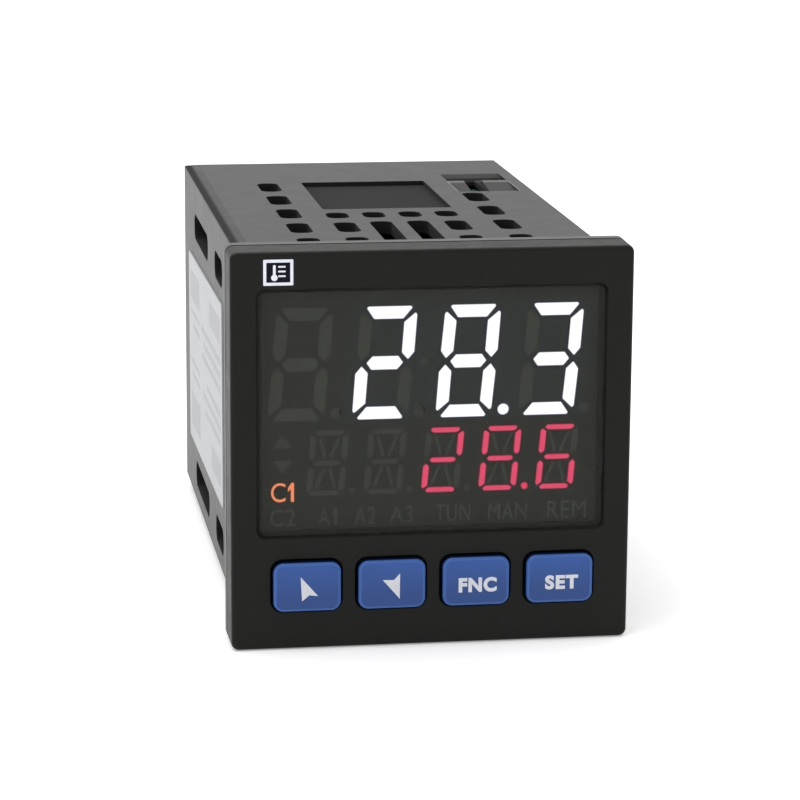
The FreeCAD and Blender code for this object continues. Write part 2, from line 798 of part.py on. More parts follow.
# arrows, then the windows behind the legends
legends.append(prism([(-18.75, 0.25), (-16.45, 0.25), (-17.6, 1.8)]))
legends.append(prism([(-18.75, -1.25), (-17.6, -2.8), (-16.45, -1.25)]))
for x, z, w, h in (
    (-17.5, -5.1, 3.2, 2.5),
    (-17.5, -8.2, 3.1, 2.1),
    (-12.05, -8.2, 2.7, 2.1),
    (-7.75, -8.2, 2.7, 2.1),
    (-3.4, -8.2, 2.9, 2.1),
    (2.8, -8.2, 4.4, 2.1),
    (9.4, -8.2, 4.8, 2.1),
    (16.55, -8.2, 4.8, 2.1),
):
    legends.append(
        prism([(x - w / 2, z - h / 2), (x + w / 2, z - h / 2), (x + w / 2, z + h / 2), (x - w / 2, z + h / 2)])
    )

block = Part.makeBox(1, 1, 1)


def slab_about(w, t, y0, y1):
    return Part.makeBox(
        w, y1 - y0, t, Vector(-w / 2, y0, D["window_rise"].v - t / 2)
    )


block = slab_about(D["block_wide"].v, D["block_tall"].v, wall_y.v, -D["flange_rear"].v)
block = block.fuse(
    slab_about(D["plateau_wide"].v, D["plateau_tall"].v, plateau_y, wall_y.v)
)
block = block.fuse(
    slab_about(D["block_rear_wide"].v, D["block_tall"].v, -D["flange_rear"].v, board_front.v)
).removeSplitter()
block = block.cut(Part.makeCompound(upper + lower + legends))
shape_node("display_reflector", block)
shape_node("upper_digit_segments", Part.makeCompound(upper))
shape_node("lower_digit_segments", Part.makeCompound(lower))
shape_node("legend_segments", Part.makeCompound(legends))

# ---------------------------------------------------------------- circuit boards

board = new_body("display_board")
sk = at_y(board, board_front)
draw_round_rect(sk, 0, 0, D["display_board_wide"], D["display_board_tall"], 0.8)
pad(board, sk, D["board_thick"], backward=True)

inner = D["side_board_in"]
side_mid = (D["side_board_start"] + D["side_board_end"]) / 2
side_long = D["side_board_end"] - D["side_board_start"]
for label, side in (("power_board", -1), ("main_board", 1)):
    board = new_body(label)
    lift = side * inner if side > 0 else -inner - D["board_thick"]
    sk = new_sketch(board, "YZ_Plane", lift)
    draw_round_rect(sk, side_mid, 0, side_long, D["side_board_tall"], 0.6)
    pad(board, sk, D["board_thick"])
    # notches for the board guides' end stop, top and bottom
    sk = new_sketch(board, "YZ_Plane", lift + D["board_thick"])
    for z in (1, -1):
        draw_rect(sk, D["side_board_end"] - 3.0, z * (D["side_board_tall"] / 2), 2.4, 1.6)
    pocket(board, sk)

cross = new_body("terminal_board")
sk = at_y(cross, D["cross_board_front"])
draw_round_rect(sk, 0, 0, D["cross_board_wide"], D["cross_board_tall"], 0.6)
pad(cross, sk, D["board_thick"], backward=True)

# headers between the boards: two at the front, two at the rear
front_gap = board_front + D["board_thick"]
headers = []
for side in (-1, 1):
    x0, x1 = (-inner, -inner + 2.8) if side < 0 else (inner - 2.8, inner)
    headers.append(box("HeaderFront", x0, x1, front_gap, front_gap + 8, -10, 10))
    headers.append(
        box("HeaderRear", x0, x1, D["cross_board_front"] - 8, D["cross_board_front"], -10, 10)
    )
group("board_connectors", headers)

# ---------------------------------------------------------------- components

# switching transformer: an E core with its winding around the middle leg
core_x = -inner + 5.5
core = box("CoreBlank", core_x - 2.5, core_x + 2.5, 30, 46, -3, 11)
for k, (a, b) in enumerate(((32.4, 35.6), (40.4, 43.6))):
    core = cut("CoreCut%d" % k, core, box("CoreWindow%d" % k, core_x - 3, core_x + 3, a, b, -0.5, 8.5))
name_node(core, "transformer_core")
coil = box("CoilBlank", core_x - 5.3, core_x + 5.3, 32.6, 43.4, -0.3, 8.3)
coil = rounded("CoilRound", coil, 1.4, lambda e: e.BoundBox.ZLength > 5)
coil = cut("CoilCut", coil, box("CoilHole", core_x - 2.6, core_x + 2.6, 35.5, 40.5, -1, 9))
name_node(coil, "transformer_winding")

can = rod("BulkCan", "x", -inner, 20, -12, 5.0, 12)
can = rounded("BulkRound", can, 0.6, lambda e: all_at(e, "x", -inner.v + 12))
name_node(can, "bulk_capacitor")
group(
    "output_capacitors",
    [
        rod("OutCanA", "x", -inner, 18, 5.0, 3.15, 11),
        rod("OutCanB", "x", -inner, 18, 13.0, 3.15, 11),
    ],
)
group(
    "output_relays",
    [
        box("Relay%d" % k, inner - 12.5, inner, 30, 50, z, z + 5)
        for k, z in enumerate((-18.0, -11.5, -5.0))
    ],
)
group(
    "film_capacitors",
    [
        rounded("FilmRound%d" % k, box("Film%d" % k, inner - 5.5, inner, y, y + 3, 12.5, 19.3), 0.5,
                lambda e: e.BoundBox.XLength > 5)
        for k, y in enumerate((39.6, 33.0))
    ],
)
name_node(box("Processor", inner - 1.2, inner, 16, 26, -5, 5), "processor_chip")

# ---------------------------------------------------------------- housing

half_w, half_t = D["case_wide"] / 2, D["case_tall"] / 2
inner_w = D["case_wide"] - 2 * D["case_wall"]
inner_t = D["case_tall"] - 2 * D["case_wall"]

case = new_body("case_shell")
sk = at_y(case, 0)
draw_round_rect(sk, 0, 0, D["case_wide"], D["case_tall"], D["case_corner"])
tube = pad(case, sk, D["case_long"], backward=True)
tube = fillet(
    case,
    tube,
    edges_where(tube, lambda e: all_at(e, "y", D["case_long"].v)),
    D["case_rear_edge"],
)
sk = at_y(case, 0)
draw_round_rect(sk, 0, 0, inner_w, inner_t, D["case_inner_corner"])
pocket(case, sk)

# the left border of the top falls away slightly
sk = at_y(case, 0)
draw_poly(
    sk,
    [
        (-D["border_in"], half_t),
        (-half_w - 0.1, half_t - D["border_fall"]),
        (-half_w - 0.1, half_t + 0.2),
        (-D["border_in"], half_t + 0.2),
    ],
)
pocket(case, sk)

# guide ribs for the two long boards, top and bottom
sk = at_y(case, D["rib_start"])
board_out = inner + D["board_thick"]
for side in (1, -1):
    for z in (1, -1):
        for edge, way in ((inner - D["rib_clear"], -1), (board_out + D["rib_clear"], 1)):
            draw_rect(
                sk,
                side * (edge + way * D["rib_wide"] / 2),
                z * (inner_t / 2 - D["rib_high"] / 2 + 0.1),
                D["rib_wide"],
                D["rib_high"] + 0.2,
            )
pad(case, sk, D["rib_long"], backward=True)

# vent slots, through the top and the bottom alike
left_x = D["vent_shift"] - D["vent_column"]
right_x = D["vent_shift"] + D["vent_column"]
sk = new_sketch(case, "XY_Plane")
draw_round_rect(sk, left_x, D["vent_start"], D["vent_wide"], D["vent_long"], D["vent_round"])
vent = pocket(case, sk, both=True)
pattern(case, [vent], "Y_Axis", D["vent_step"], 5)
sk = new_sketch(case, "XY_Plane")
draw_round_rect(sk, right_x, D["vent_start"], D["vent_wide"], D["vent_long"], D["vent_round"])
vent = pocket(case, sk, both=True)
pattern(case, [vent], "Y_Axis", D["vent_step"], 4)
mid_x = D["vent_shift"] - 0.12
sk = new_sketch(case, "XY_Plane")
draw_round_rect(
    sk, mid_x - 1.5 * D["oval_step"], D["oval_middle"], D["vent_wide"], D["oval_long"], 1.25
)
vent = pocket(case, sk, both=True)
pattern(case, [vent], "X_Axis", D["oval_step"], 4)
sk = new_sketch(case, "XY_Plane")
for y in (D["vent_start"], D["vent_start"] + D["vent_step"]):
    draw_round_rect(
        sk, mid_x - 1.5 * D["oval_step"], y, D["vent_wide"], D["vent_long"], D["vent_round"]
    )
vent = pocket(case, sk, both=True)
pattern(case, [vent], "X_Axis", 3 * D["oval_step"], 2)
sk = new_sketch(case, "XY_Plane")
draw_round_rect(
    sk, mid_x - 0.5 * D["oval_step"], D["trunk_middle"], D["vent_wide"], D["trunk_long"], D["vent_round"]
)
vent = pocket(case, sk, both=True)
pattern(case, [vent], "X_Axis", D["oval_step"], 2)

# side slots: the front ones take the bezel's latch hooks, the rear ones are vents
sk = new_sketch(case, "YZ_Plane")
for z in (D["slot_high"], -D["slot_low"]):
    for a, b in (("slot_near_front", "slot_near_rear"), ("slot_far_front", "slot_far_rear")):
        draw_round_rect(
            sk, (D[a] + D[b]) / 2, z, D[b] - D[a], D["slot_tall"], D["slot_round"]
        )
pocket(case, sk, both=True)

# notches in the inner wall for the latch arms
sk = at_y(case, 0)
reach = D["notch_out"] - inner_w / 2 + 0.2
for z in (D["slot_high"], -D["slot_low"]):
    for side in (1, -1):
        draw_rect(sk, side * (D["notch_out"] - reach / 2), z, reach, D["notch_tall"])
pocket(case, sk, D["slot_near_front"] + 1)

# shallow recess for a plate on top
sk = new_sketch(case, "XY_Plane", half_t)
draw_round_rect(
    sk, D["recess_shift"], D["recess_middle"], D["recess_wide"], D["recess_long"], 0.4
)
pocket(case, sk, D["recess_deep"])

# bracket catches, one on top and one below, on the same side of the housing
for turn in (1, -1):
    sk = new_sketch(case, "XY_Plane", turn * half_t)
    draw_rect(
        sk,
        D["catch_side"],
        (D["catch_bar_front"] + D["catch_bar_rear"]) / 2,
        D["catch_wide"],
        D["catch_bar_rear"] - D["catch_bar_front"],
    )
    pocket(case, sk, D["catch_bar_deep"], backward=turn < 0)
    sk = new_sketch(case, "YZ_Plane", D["catch_side"])
    draw_poly(
        sk,
        [
            (D["catch_bar_rear"] - 0.1, turn * (half_t + 0.1)),
            (D["catch_bar_rear"] - 0.1, turn * (half_t - D["catch_bar_bevel"] - 0.1)),
            (D["catch_bar_rear"] + D["catch_bar_bevel"] + 0.1, turn * (half_t + 0.1)),
        ],
    )
    pocket(case, sk, D["catch_wide"], both=True)
    sk = new_sketch(case, "YZ_Plane", D["catch_side"])
    draw_poly(
        sk,
        [
            (D["catch_ramp_front"], turn * (half_t + 0.2)),
            (D["catch_ramp_front"], turn * (half_t - D["catch_ramp_drop"])),
            (D["catch_ramp_rear"], turn * half_t),
            (D["catch_ramp_rear"], turn * (half_t + 0.2)),
        ],
    )
    pocket(case, sk, D["catch_wide"], both=True)
    sk = new_sketch(case, "XY_Plane", turn * (half_t + 0.1))
    draw_rect(
        sk,
        D["catch_side"] - 0.6,
        (D["catch_stem_front"] + D["catch_bar_rear"]) / 2,
        D["catch_stem_wide"],
        D["catch_bar_rear"] - D["catch_stem_front"],
    )
    pocket(case, sk, D["case_wall"] + D["rib_high"] + 0.4, backward=turn < 0)

# ---------------------------------------------------------------- gasket and label

gasket = new_body("panel_gasket")
sk = at_y(gasket, 0)
draw_round_rect(sk, 0, 0, D["gasket_side"], D["gasket_side"], 1.6)
draw_round_rect(
    sk,
    0,
    0,
    D["case_wide"] + 2 * D["gasket_gap"],
    D["case_tall"] + 2 * D["gasket_gap"],
    D["case_corner"],
)
pad(gasket, sk, D["gasket_thick"], backward=True)

label = new_body("side_label")
sk = new_sketch(label, "YZ_Plane", -half_w)
turn_c, turn_s = math.cos(math.radians(D["label_turn"].v)), math.sin(math.radians(D["label_turn"].v))
draw_poly(
    sk,
    [
        (
            D["label_front"] + D["label_long"] / 2 + a * D["label_long"] / 2 * turn_c + b * D["label_tall"] / 2 * turn_s,
            -D["label_drop"] - a * D["label_long"] / 2 * turn_s + b * D["label_tall"] / 2 * turn_c,
        )
        for a, b in ((-1, -1), (1, -1), (1, 1), (-1, 1))
    ],
)
plate = pad(label, sk, D["label_thick"], backward=True)
fillet(label, plate, edges_where(plate, lambda e: e.BoundBox.XLength > 0.1), D["label_round"])

# ---------------------------------------------------------------- rear cover and terminals

cover = new_body("rear_cover")
sk = at_y(cover, D["cover_front"])
draw_round_rect(
    sk, 0, 0, inner_w - 2 * D["cover_gap"], inner_t - 2 * D["cover_gap"], 0.5
)
plate = pad(cover, sk, D["cover_thick"], backward=True)
sk = at_y(cover, D["cover_front"])
draw_rect(sk, -D["plug_step"], 0, D["cover_hole_wide"], D["cover_hole_tall"])
hole = pocket(cover, sk)
pattern(cover, [hole], "X_Axis", D["plug_step"], 3)

cross_rear = D["cross_board_front"] + D["board_thick"]
socket = new_body("terminal_sockets")
sk = at_y(socket, cross_rear)
draw_rect(sk, -D["plug_step"], 0, D["socket_wide"], D["socket_tall"])
one = pad(socket, sk, D["socket_rear"] - cross_rear, backward=True)
sk = at_y(socket, cross_rear + D["socket_floor"])
draw_rect(sk, -D["plug_step"], 0, D["socket_bore_wide"], D["socket_bore_tall"])
two = pocket(socket, sk)
pattern(socket, [one, two], "X_Axis", D["plug_step"], 3)

POLES = 8
first_z = -3.5 * D["pole_pitch"]

pins = new_body("socket_pins")
sk = at_y(pins, cross_rear + D["socket_floor"])
for k in range(POLES):
    draw_rect(
        sk, -D["plug_step"], first_z + k * D["pole_pitch"], D["pin_side"], D["pin_side"]
    )
one = pad(pins, sk, D["pin_end"] - cross_rear - D["socket_floor"], backward=True)
pattern(pins, [one], "X_Axis", D["plug_step"], 3)

chamber_mid = (D["wire_hole_front"] + D["wire_hole_rear"]) / 2
chamber_deep = D["wire_hole_rear"] - D["wire_hole_front"]


def make_plug(label_text, column, flip):
    """A plug-in terminal: a tongue in the socket, a body outside it, and for each
    pole a wire chamber open at one side with a screw bore over it."""
    plug = new_body(label_text)
    sk = at_y(plug, D["plug_front"])
    draw_rect(sk, 0, 0, D["tongue_wide"], D["tongue_tall"])
    pad(plug, sk, D["plug_shoulder"] - D["plug_front"], backward=True)
    sk = at_y(plug, D["plug_shoulder"])
    draw_rect(sk, 0, 0, D["plug_wide"], D["plug_tall"])
    head = pad(plug, sk, D["plug_rear"] - D["plug_shoulder"], backward=True)
    chamfer(
        plug,
        head,
        edges_where(head, lambda e: all_at(e, "y", D["plug_rear"].v) and e.BoundBox.ZLength > 20),
        0.5,
    )
    sk = at_y(plug, D["plug_front"])
    draw_rect(sk, 0, first_z, D["pin_side"] + 0.4, D["pin_side"] + 0.4)
    contact = pocket(plug, sk, D["pin_end"] - D["plug_front"] + 0.5)
    sk = new_sketch(plug, "YZ_Plane", D["plug_wide"] / 2)
    draw_rect(sk, chamber_mid, first_z, chamber_deep, D["wire_hole_tall"])
    chamber = pocket(plug, sk, D["wire_hole_deep"])
    sk = at_y(plug, D["wire_hole_rear"] - 0.1)
    draw_circle(sk, 0, first_z, D["screw_hole"])
    bore = pocket(plug, sk, D["plug_rear"] - D["wire_hole_rear"] + 1)
    pattern(plug, [contact, chamber, bore], "Z_Axis", D["pole_pitch"], POLES)
    if flip:
        plug.Placement = Placement(
            Vector(column.v, 0, 0), Rotation(Vector(0, 1, 0), 180)
        )
    tie(plug, "Placement.Base.x", column)


make_plug("terminal_plug_left", -D["plug_step"], True)
make_plug("terminal_plug_centre", Q.of(0), False)
make_plug("terminal_plug_right", D["plug_step"], False)

# clamp screws: slotted head over a shank that reaches into the clamp cage
head_y0, head_y1 = 79.5, 80.55
screws, cages = [], []
turns = (12, 95, 40, 160, 70, 25, 120, 0)
for column in (-1, 0, 1):
    for k in range(POLES):
        x = column * D["plug_step"].v
        z = first_z.v + k * D["pole_pitch"].v
        up = Vector(0, 1, 0)
        head = Part.makeCylinder(D["screw_head"].v, head_y1 - head_y0, Vector(x, head_y0, z), up)
        shank = Part.makeCylinder(D["screw_shank"].v, head_y0 - 77.6, Vector(x, 77.6, z), up)
        slot = Part.makeBox(
            D["screw_slot"].v, 0.6, 2 * D["screw_head"].v + 1,
            Vector(-D["screw_slot"].v / 2, head_y1 - 0.55, -D["screw_head"].v - 0.5),
        )
        slot.rotate(Vector(0, 0, 0), up, turns[(k + 3 * (column + 1)) % 8])
        slot.translate(Vector(x, 0, z))
        screws.append(head.fuse(shank).removeSplitter().cut(slot))
        cage = Part.makeBox(3.4, 2.7, 2.3, Vector(x - 1.7, 76.35, z - 1.15))
        cage = cage.cut(Part.makeBox(5, 1.5, 1.5, Vector(x - 2.5, 76.9, z - 0.75)))
        cage = cage.cut(Part.makeCylinder(0.95, 3, Vector(x, 77.2, z), up))
        cages.append(cage)
shape_node("terminal_screws", Part.makeCompound(screws))
shape_node("wire_clamps", Part.makeCompound(cages))

# ---------------------------------------------------------------- check and write

doc.recompute()
bad = [
    "%s: %s" % (o.Label, o.State)
    for o in doc.Objects
    if "Invalid" in o.State or "Error" in o.State
]
if bad:
    raise RuntimeError("failed objects: " + "; ".join(bad))
labels = [n.Label for n in nodes]
if len(labels) != len(set(labels)):
    raise RuntimeError("two sub-parts share a name")
os.makedirs("parts", exist_ok=True)
for node in nodes:
    shape = node.Shape
    if shape.isNull() or not shape.isValid() or not shape.Solids:
        raise RuntimeError("bad shape: " + node.Label)
for node in nodes:
    shape = node.Shape
    b = shape.BoundBox
    print(
        "%-22s solids %3d  volume %9.2f  x %7.2f %7.2f  y %7.2f %7.2f  z %7.2f %7.2f"
        % (node.Label, len(shape.Solids), shape.Volume, b.XMin, b.XMax, b.YMin, b.YMax, b.ZMin, b.ZMax)
    )
    shape.exportStep("parts/%s.step" % node.Label)
print("%d sub-parts" % len(nodes))
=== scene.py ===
import json
import math

import bmesh
import bpy
from mathutils import Matrix, Vector


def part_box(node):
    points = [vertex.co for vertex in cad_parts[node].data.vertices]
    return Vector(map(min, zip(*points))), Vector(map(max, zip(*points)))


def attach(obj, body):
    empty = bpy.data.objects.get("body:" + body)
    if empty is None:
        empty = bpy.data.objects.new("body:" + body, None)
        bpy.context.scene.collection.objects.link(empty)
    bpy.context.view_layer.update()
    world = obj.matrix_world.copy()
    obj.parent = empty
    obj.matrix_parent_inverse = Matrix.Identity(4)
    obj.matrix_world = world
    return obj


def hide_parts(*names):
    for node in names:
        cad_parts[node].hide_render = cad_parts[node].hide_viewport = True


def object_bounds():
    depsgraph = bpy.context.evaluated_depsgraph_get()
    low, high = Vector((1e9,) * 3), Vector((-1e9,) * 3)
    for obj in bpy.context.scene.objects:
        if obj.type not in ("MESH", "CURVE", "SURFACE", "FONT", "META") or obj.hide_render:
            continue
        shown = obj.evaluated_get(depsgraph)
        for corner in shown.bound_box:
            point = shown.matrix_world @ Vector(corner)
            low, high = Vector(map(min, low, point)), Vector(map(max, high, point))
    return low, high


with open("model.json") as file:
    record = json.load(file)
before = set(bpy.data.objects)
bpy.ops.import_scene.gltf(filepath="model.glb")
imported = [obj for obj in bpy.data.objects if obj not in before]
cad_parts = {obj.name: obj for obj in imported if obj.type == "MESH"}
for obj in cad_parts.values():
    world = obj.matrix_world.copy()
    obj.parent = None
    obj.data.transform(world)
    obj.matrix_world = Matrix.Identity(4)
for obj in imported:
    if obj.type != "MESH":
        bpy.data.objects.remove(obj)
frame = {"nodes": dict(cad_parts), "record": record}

cad_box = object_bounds()
scene = bpy.context.scene
ROOT = "instrument"
MM = 0.001

# ------------------------------------------------------------------ shader helpers


class Mat:
    """A node material with a few short-hands. Positions are object coordinates in metres."""

    def __init__(self, name):
        self.m = bpy.data.materials.new(name)
        self.m.use_nodes = True
        self.t = self.m.node_tree
        self.n = self.t.nodes
        self.bsdf = self.n["Principled BSDF"]
        self.coord = self.n.new("ShaderNodeTexCoord")
        self.obj = self.coord.outputs["Object"]

    def link(self, a, b):
        self.t.links.new(a, b)

    def set(self, **k):
        for key, v in k.items():
            self.bsdf.inputs[key.replace("_", " ")].default_value = v
        return self

    def noise(self, scale, detail=3.0, rough=0.55, stretch=None, distortion=0.0, offset=None):
        src = self.obj
        if stretch or offset:
            mp = self.n.new("ShaderNodeMapping")
            self.link(src, mp.inputs["Vector"])
            if stretch:
                mp.inputs["Scale"].default_value = stretch
            if offset:
                mp.inputs["Location"].default_value = offset
            src = mp.outputs["Vector"]
        t = self.n.new("ShaderNodeTexNoise")
        t.inputs["Scale"].default_value = scale
        t.inputs["Detail"].default_value = detail
        t.inputs["Roughness"].default_value = rough
        t.inputs["Distortion"].default_value = distortion
        self.link(src, t.inputs["Vector"])
        return t.outputs["Fac"]

    def voronoi(self, scale, feature="F1", out="Distance"):
        t = self.n.new("ShaderNodeTexVoronoi")
        t.feature = feature
        t.inputs["Scale"].default_value = scale
        self.link(self.obj, t.inputs["Vector"])
        return t.outputs[out]

    def ramp(self, fac, stops, interp="LINEAR"):
        r = self.n.new("ShaderNodeValToRGB")
        r.color_ramp.interpolation = interp
        el = r.color_ramp.elements
        while len(el) < len(stops):
            el.new(0.5)
        for e, (p, c) in zip(el, stops):
            e.position = p
            if isinstance(c, (int, float)):
                c = (c, c, c)
            e.color = (c[0], c[1], c[2], 1.0)
        self.link(fac, r.inputs["Fac"])
        return r.outputs["Color"]

    def spread(self, fac, lo, hi, a=0.25, b=0.75):
        """Maps a noise value from a..b to lo..hi."""
        m = self.n.new("ShaderNodeMapRange")
        m.inputs["From Min"].default_value = a
        m.inputs["From Max"].default_value = b
        m.inputs["To Min"].default_value = lo
        m.inputs["To Max"].default_value = hi
        self.link(fac, m.inputs["Value"])
        return m.outputs["Result"]

    def math(self, op, a, b=None, c=None):
        m = self.n.new("ShaderNodeMath")
        m.operation = op
        for i, v in enumerate((a, b, c)):
            if v is None:
                continue
            if isinstance(v, (int, float)):
                m.inputs[i].default_value = v
            else:
                self.link(v, m.inputs[i])
        return m.outputs["Value"]

    def mix(self, fac, a, b, mode="MIX"):
        m = self.n.new("ShaderNodeMix")
        m.data_type = "RGBA"
        m.blend_type = mode
        for sock, v in ((m.inputs[0], fac), (m.inputs[6], a), (m.inputs[7], b)):
            if isinstance(v, (int, float)):
                sock.default_value = v
            elif isinstance(v, tuple):
                sock.default_value = (v[0], v[1], v[2], 1.0)
            else:
                self.link(v, sock)
        return m.outputs[2]

    def xyz(self):
        s = self.n.new("ShaderNodeSeparateXYZ")
        self.link(self.obj, s.inputs["Vector"])
        return s.outputs["X"], s.outputs["Y"], s.outputs["Z"]

    def within(self, v, lo, hi, soft):
        """1 between lo and hi, falling to 0 over soft on each side."""
        a = self.n.new("ShaderNodeMapRange")
        a.interpolation_type = "SMOOTHSTEP"
        for k, x in (("From Min", lo - soft), ("From Max", lo), ("To Min", 0.0), ("To Max", 1.0)):
            a.inputs[k].default_value = x
        self.link(v, a.inputs["Value"])
        b = self.n.new("ShaderNodeMapRange")
        b.interpolation_type = "SMOOTHSTEP"
        for k, x in (("From Min", hi), ("From Max", hi + soft), ("To Min", 1.0), ("To Max", 0.0)):
            b.inputs[k].default_value = x
        self.link(v, b.inputs["Value"])
        return self.math("MULTIPLY", a.outputs["Result"], b.outputs["Result"])

    def attr(self, name):
        a = self.n.new("ShaderNodeAttribute")
        a.attribute_name = name
        return a.outputs["Fac"]

    def color(self, sock):
        self.link(sock, self.bsdf.inputs["Base Color"])
        return self

    def rough(self, sock):
        self.link(sock, self.bsdf.inputs["Roughness"])
        return self

    def bump(self, height, strength, distance):
        b = self.n.new("ShaderNodeBump")
        b.inputs["Strength"].default_value = strength
        b.inputs["Distance"].default_value = distance
        self.link(height, b.inputs["Height"])
        prev = self.bsdf.inputs["Normal"].links
        if prev:
            self.link(prev[0].from_socket, b.inputs["Normal"])
        self.link(b.outputs["Normal"], self.bsdf.inputs["Normal"])
        return self


def grained(name, dark, light, rough_lo, rough_hi, specular, grain=0.16, depth=0.006, mottle=3.0, strength=0.35):
    """A moulded plastic: eroded-tool grain (mm) and slow mottling."""
    m = Mat(name)
    slow = m.noise(1.0 / (mottle * MM), 3.0, 0.6)
    fine = m.noise(1.0 / (grain * MM), 2.0, 0.6)
    base = m.ramp(slow, [(0.3, dark), (0.7, light)])
    m.color(base)
    both = m.math("ADD", m.math("MULTIPLY", slow, 0.6), m.math("MULTIPLY", fine, 0.4))
    m.rough(m.spread(both, rough_lo, rough_hi, 0.35, 0.65))
    m.bump(fine, strength, depth * MM)
    m.set(Specular_IOR_Level=specular)
    return m


# ------------------------------------------------------------------ materials

# front frame: fine grain; its rear lip painted paler as a highlight, a band just in front of it painted near-black as
# shade, the seat behind the window matt like the light block
m = Mat("bezel_plastic")
slow = m.noise(333.0, 3.0, 0.6)
fine = m.noise(7000.0, 2.0, 0.6)
X, Y, Z = m.xyz()
# painted highlight: the rear lip of the frame is coloured pale
lip_painted_highlight = m.within(Y, -1.38 * MM, 0.5 * MM, 0.04 * MM)
# painted shade: a near-black band just in front of the lip
band_painted_shade = m.within(Y, -1.92 * MM, -1.42 * MM, 0.03 * MM)
seat = m.math("MULTIPLY", m.within(X, -20.78 * MM, 20.78 * MM, 0.03 * MM), m.within(Z, -10.33 * MM, 19.41 * MM, 0.03 * MM))
seat = m.math("MULTIPLY", seat, m.within(Y, -5.0 * MM, -4.4 * MM, 0.02 * MM))
side = m.within(Y, -6.0 * MM, 0.0, 0.3 * MM)
base = m.ramp(slow, [(0.3, (0.0034, 0.0041, 0.0026)), (0.7, (0.0050, 0.0058, 0.0040))])
base = m.mix(side, base, (0.024, 0.0246, 0.0226))
base = m.mix(lip_painted_highlight, base, (0.120, 0.121, 0.118))
base = m.mix(band_painted_shade, base, (0.003, 0.003, 0.003))
base = m.mix(seat, base, (0.0195, 0.0215, 0.0159))
m.color(base)
m.rough(m.spread(m.math("ADD", m.math("MULTIPLY", slow, 0.6), m.math("MULTIPLY", fine, 0.4)), 0.42, 0.54, 0.35, 0.65))
m.bump(fine, 0.35, 0.004 * MM)
m.set(Specular_IOR_Level=0.18)
BEZEL = m

# housing: matt grain; the plate recess moulded rougher and darker, the catch ramps rubbed smooth by the bracket and
# painted lighter as a highlight; the inside painted near-black as shade, a strip along the top-left edge painted
# darker as shade, the catch pocket's rear wall painted lighter as light
m = Mat("housing_plastic")
slow = m.noise(260.0, 3.0, 0.6)
fine = m.noise(5200.0, 2.0, 0.6)
X, Y, Z = m.xyz()
recess = m.math("MULTIPLY", m.within(X, -8.1 * MM, 8.9 * MM, 0.05 * MM), m.within(Y, 33.4 * MM, 56.9 * MM, 0.05 * MM))
recess = m.math("MULTIPLY", recess, m.within(Z, 20.0 * MM, 22.3 * MM, 0.02 * MM))
# catch ramps: rubbed smooth (lower roughness) and painted lighter as a highlight
ramps_worn_and_painted_highlight = m.math("MULTIPLY", m.within(X, 11.9 * MM, 20.4 * MM, 0.1 * MM), m.within(Y, 47.2 * MM, 55.4 * MM, 0.9 * MM))
ramps_worn_and_painted_highlight = m.math("MULTIPLY", ramps_worn_and_painted_highlight, m.within(m.math("ABSOLUTE", Z), 21.5 * MM, 23.0 * MM, 0.05 * MM))
# painted shade: a darker strip along the top-left long edge
strip_painted_shade = m.math("MULTIPLY", m.within(X, -21.0 * MM, -20.3 * MM, 0.12 * MM), m.within(Z, 22.0 * MM, 23.0 * MM, 0.05 * MM))
strip_painted_shade = m.math("MULTIPLY", strip_painted_shade, m.within(Y, 0.0, 66.0 * MM, 7.0 * MM))
base = m.ramp(slow, [(0.3, (0.0205, 0.0210, 0.0200)), (0.7, (0.0240, 0.0246, 0.0232))])
# painted shade: the inside of the housing and the walls of its holes near-black
inside_painted_shade = m.math("MULTIPLY", m.within(m.math("ABSOLUTE", Z), -1.0 * MM, 22.30 * MM, 0.05 * MM), m.within(m.math("ABSOLUTE", X), -1.0 * MM, 22.16 * MM, 0.04 * MM))
inside_painted_shade = m.math("MULTIPLY", inside_painted_shade, m.within(Y, -1.0 * MM, 75.2 * MM, 0.05 * MM))
# painted light: the catch pocket's rear wall coloured lighter
pocket_wall_painted_light = m.math("MULTIPLY", m.within(X, 11.9 * MM, 20.4 * MM, 0.1 * MM), m.within(Y, 60.8 * MM, 63.0 * MM, 0.1 * MM))
pocket_wall_painted_light = m.math("MULTIPLY", pocket_wall_painted_light, m.within(m.math("ABSOLUTE", Z), 21.3 * MM, 22.36 * MM, 0.03 * MM))
base = m.mix(inside_painted_shade, base, (0.0020, 0.0021, 0.0019))
base = m.mix(strip_painted_shade, base, (0.0155, 0.0158, 0.0150))
base = m.mix(pocket_wall_painted_light, base, (0.060, 0.061, 0.059))
base = m.mix(recess, base, (0.0024, 0.0027, 0.0021))
base = m.mix(ramps_worn_and_painted_highlight, base, (0.034, 0.0345, 0.0330))
m.color(base)
r = m.spread(m.math("ADD", m.math("MULTIPLY", slow, 0.8), m.math("MULTIPLY", fine, 0.2)), 0.45, 0.50, 0.35, 0.65)
r = m.math("ADD", r, m.math("MULTIPLY", inside_painted_shade, 0.5))
r = m.math("ADD", r, m.math("MULTIPLY", strip_painted_shade, 0.05))
r = m.math("ADD", r, m.math("MULTIPLY", recess, 0.50))
r = m.math("SUBTRACT", r, m.math("MULTIPLY", ramps_worn_and_painted_highlight, 0.17))
m.rough(r)
m.bump(fine, 0.16, 0.004 * MM)
m.set(Specular_IOR_Level=0.5)
HOUSING = m

